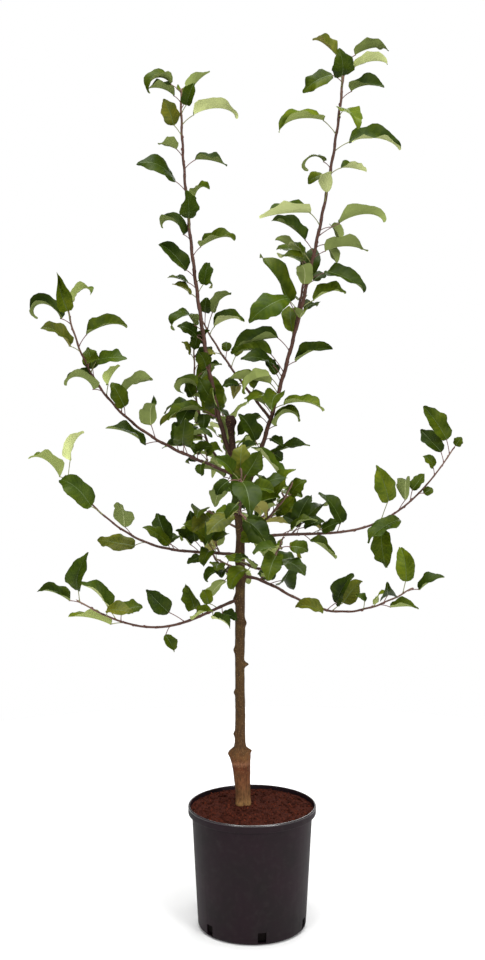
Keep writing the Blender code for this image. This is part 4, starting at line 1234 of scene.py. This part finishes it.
def make_plant():
    axes, room = {}, Room()
    for name, limb in LIMBS.items():
        axes[name] = Axis(limb, limb_foot(limb, axes))
    room.add(Hull(trunk_rings(HULL_MARGIN)), "trunk")
    for name, axis in axes.items():
        stops = np.append(np.arange(0.0, axis.length, HULL_STEP), axis.length)
        rings = [axis.ring(stop, axis.radius(stop) + HULL_MARGIN, LIMB_SIDES) for stop in stops]
        room.add(Hull(rings), name)

    shoot_bark = shoot_finish()
    make_trunk(trunk_finish())
    dealt = {tone: [] for tone in TONES}
    stalks = {kind: [] for kind in STALK_TINTS}
    twigs, buds, masses_stood_for = [], [], []
    deal = random.Random("tones")
    for name, limb in LIMBS.items():
        axis = axes[name]
        masses = grow_limb(name, limb, axis, room)[1:]
        nodes = mass_names(name, len(masses))
        masses_stood_for += nodes
        make_limb(name, axis, shoot_bark, f"{name}_bough", *nodes)
        buds += bud_lines(name, axis)
        for _, _, leaves, spurs in masses:
            for leaf in leaves:
                # Leaves further out along a limb get lighter tones: painted light on the outside of the crown, painted
                # shade inside it
                painted_light_share = (np.linalg.norm(leaf.root - axis.points[0]) / axis.length) ** 2
                weights = [old + (young - old) * painted_light_share for old, young in TONE_SHARES.values()]
                tone = deal.choices(list(TONE_SHARES), weights)[0]
                dealt[tone].append(leaf)
                stalks["green" if tone in ("fresh", "pale", "olive") else "red"].append(petiole_line(leaf))
            for root, spur in spurs:
                points = [root + share * spur for share in (0.0, 0.3, 0.6, 0.85, 1.0)]
                twigs.append((np.array(points), [0.0016, 0.0019, 0.0017, 0.0020, 0.0006]))
    for tone, leaves in dealt.items():
        upper, under = TONES[tone]
        finishes = [
            blade_upper(tone, upper), blade_under(tone, under),
            plain_finish(f"vein upper {tone}", "4C5E26", 0.5), plain_finish(f"vein under {tone}", "B9BE86", 0.8),
        ]
        make_blades(f"leaves_{tone}", leaves, finishes, *masses_stood_for)
    for kind, lines in stalks.items():
        finish = plain_finish(f"petiole {kind}", STALK_TINTS[kind], 0.55)
        add_piece(f"petioles_{kind}", tubes(f"petioles_{kind}", lines, 8), [finish], "foliage", *masses_stood_for)
    add_piece("spur_twigs", tubes("spur_twigs", twigs, 10), [plain_finish("spur bark", "5A4038", 0.7)], "bark")
    add_piece("buds", tubes("buds", buds, 8), [plain_finish("bud scales", "5E3A34", 0.6)], "bark")


# Stage


def make_stage():
    scene = bpy.context.scene
    scene.view_settings.view_transform = "Standard"
    bm = bmesh.new()
    bmesh.ops.create_circle(bm, cap_ends=True, segments=96, radius=FLOOR_RADIUS)
    floor = bpy.data.objects.new("floor", mesh_of(bm, "floor"))
    floor.data.materials.append(Finish("floor", base_color=(0.97, 0.97, 0.97), roughness=0.9).material)
    scene.collection.objects.link(floor)

    world = bpy.data.worlds.new("studio")
    world.use_nodes = True
    nodes, links = world.node_tree.nodes, world.node_tree.links
    seen, light = nodes["Background"], nodes.new("ShaderNodeBackground")
    seen.inputs["Color"].default_value = light.inputs["Color"].default_value = (1.0, 1.0, 1.0, 1.0)
    seen.inputs["Strength"].default_value = 1.0
    light.inputs["Strength"].default_value = WORLD_LIGHT
    ray, share = nodes.new("ShaderNodeLightPath"), nodes.new("ShaderNodeMixShader")
    links.new(ray.outputs["Is Camera Ray"], share.inputs["Fac"])
    links.new(light.outputs["Background"], share.inputs[1])
    links.new(seen.outputs["Background"], share.inputs[2])
    links.new(share.outputs["Shader"], nodes["World Output"].inputs["Surface"])
    scene.world = world

    for name, place, aim, size, power in SOFTBOXES:
        light = bpy.data.lights.new(name, "AREA")
        light.size, light.energy = size, power
        lamp = bpy.data.objects.new(name, light)
        lamp.location = place
        lamp.rotation_euler = (Vector(aim) - Vector(place)).to_track_quat("-Z", "Y").to_euler()
        scene.collection.objects.link(lamp)

    camera = bpy.data.cameras.new("camera")
    camera.lens, camera.sensor_width, camera.sensor_fit = 51.2, 36.0, "AUTO"
    viewer = bpy.data.objects.new("camera", camera)
    viewer.location = (-0.018, -2.5, 1.071)
    viewer.rotation_euler = (math.radians(90 - 5.2), 0, 0)
    scene.collection.objects.link(viewer)
    scene.camera = viewer


make_pot(pot_finish())
make_compost(
    compost_finish("compost", "2E120C", "532518"),
    [
        (compost_finish("compost dark crumbs", "2C120C", "482116"), 1500, 0.0030),
        (compost_finish("compost red crumbs", "502217", "6B3423"), 900, 0.0024),
    ],
    random.Random("compost"),
)
make_plant()
make_stage()
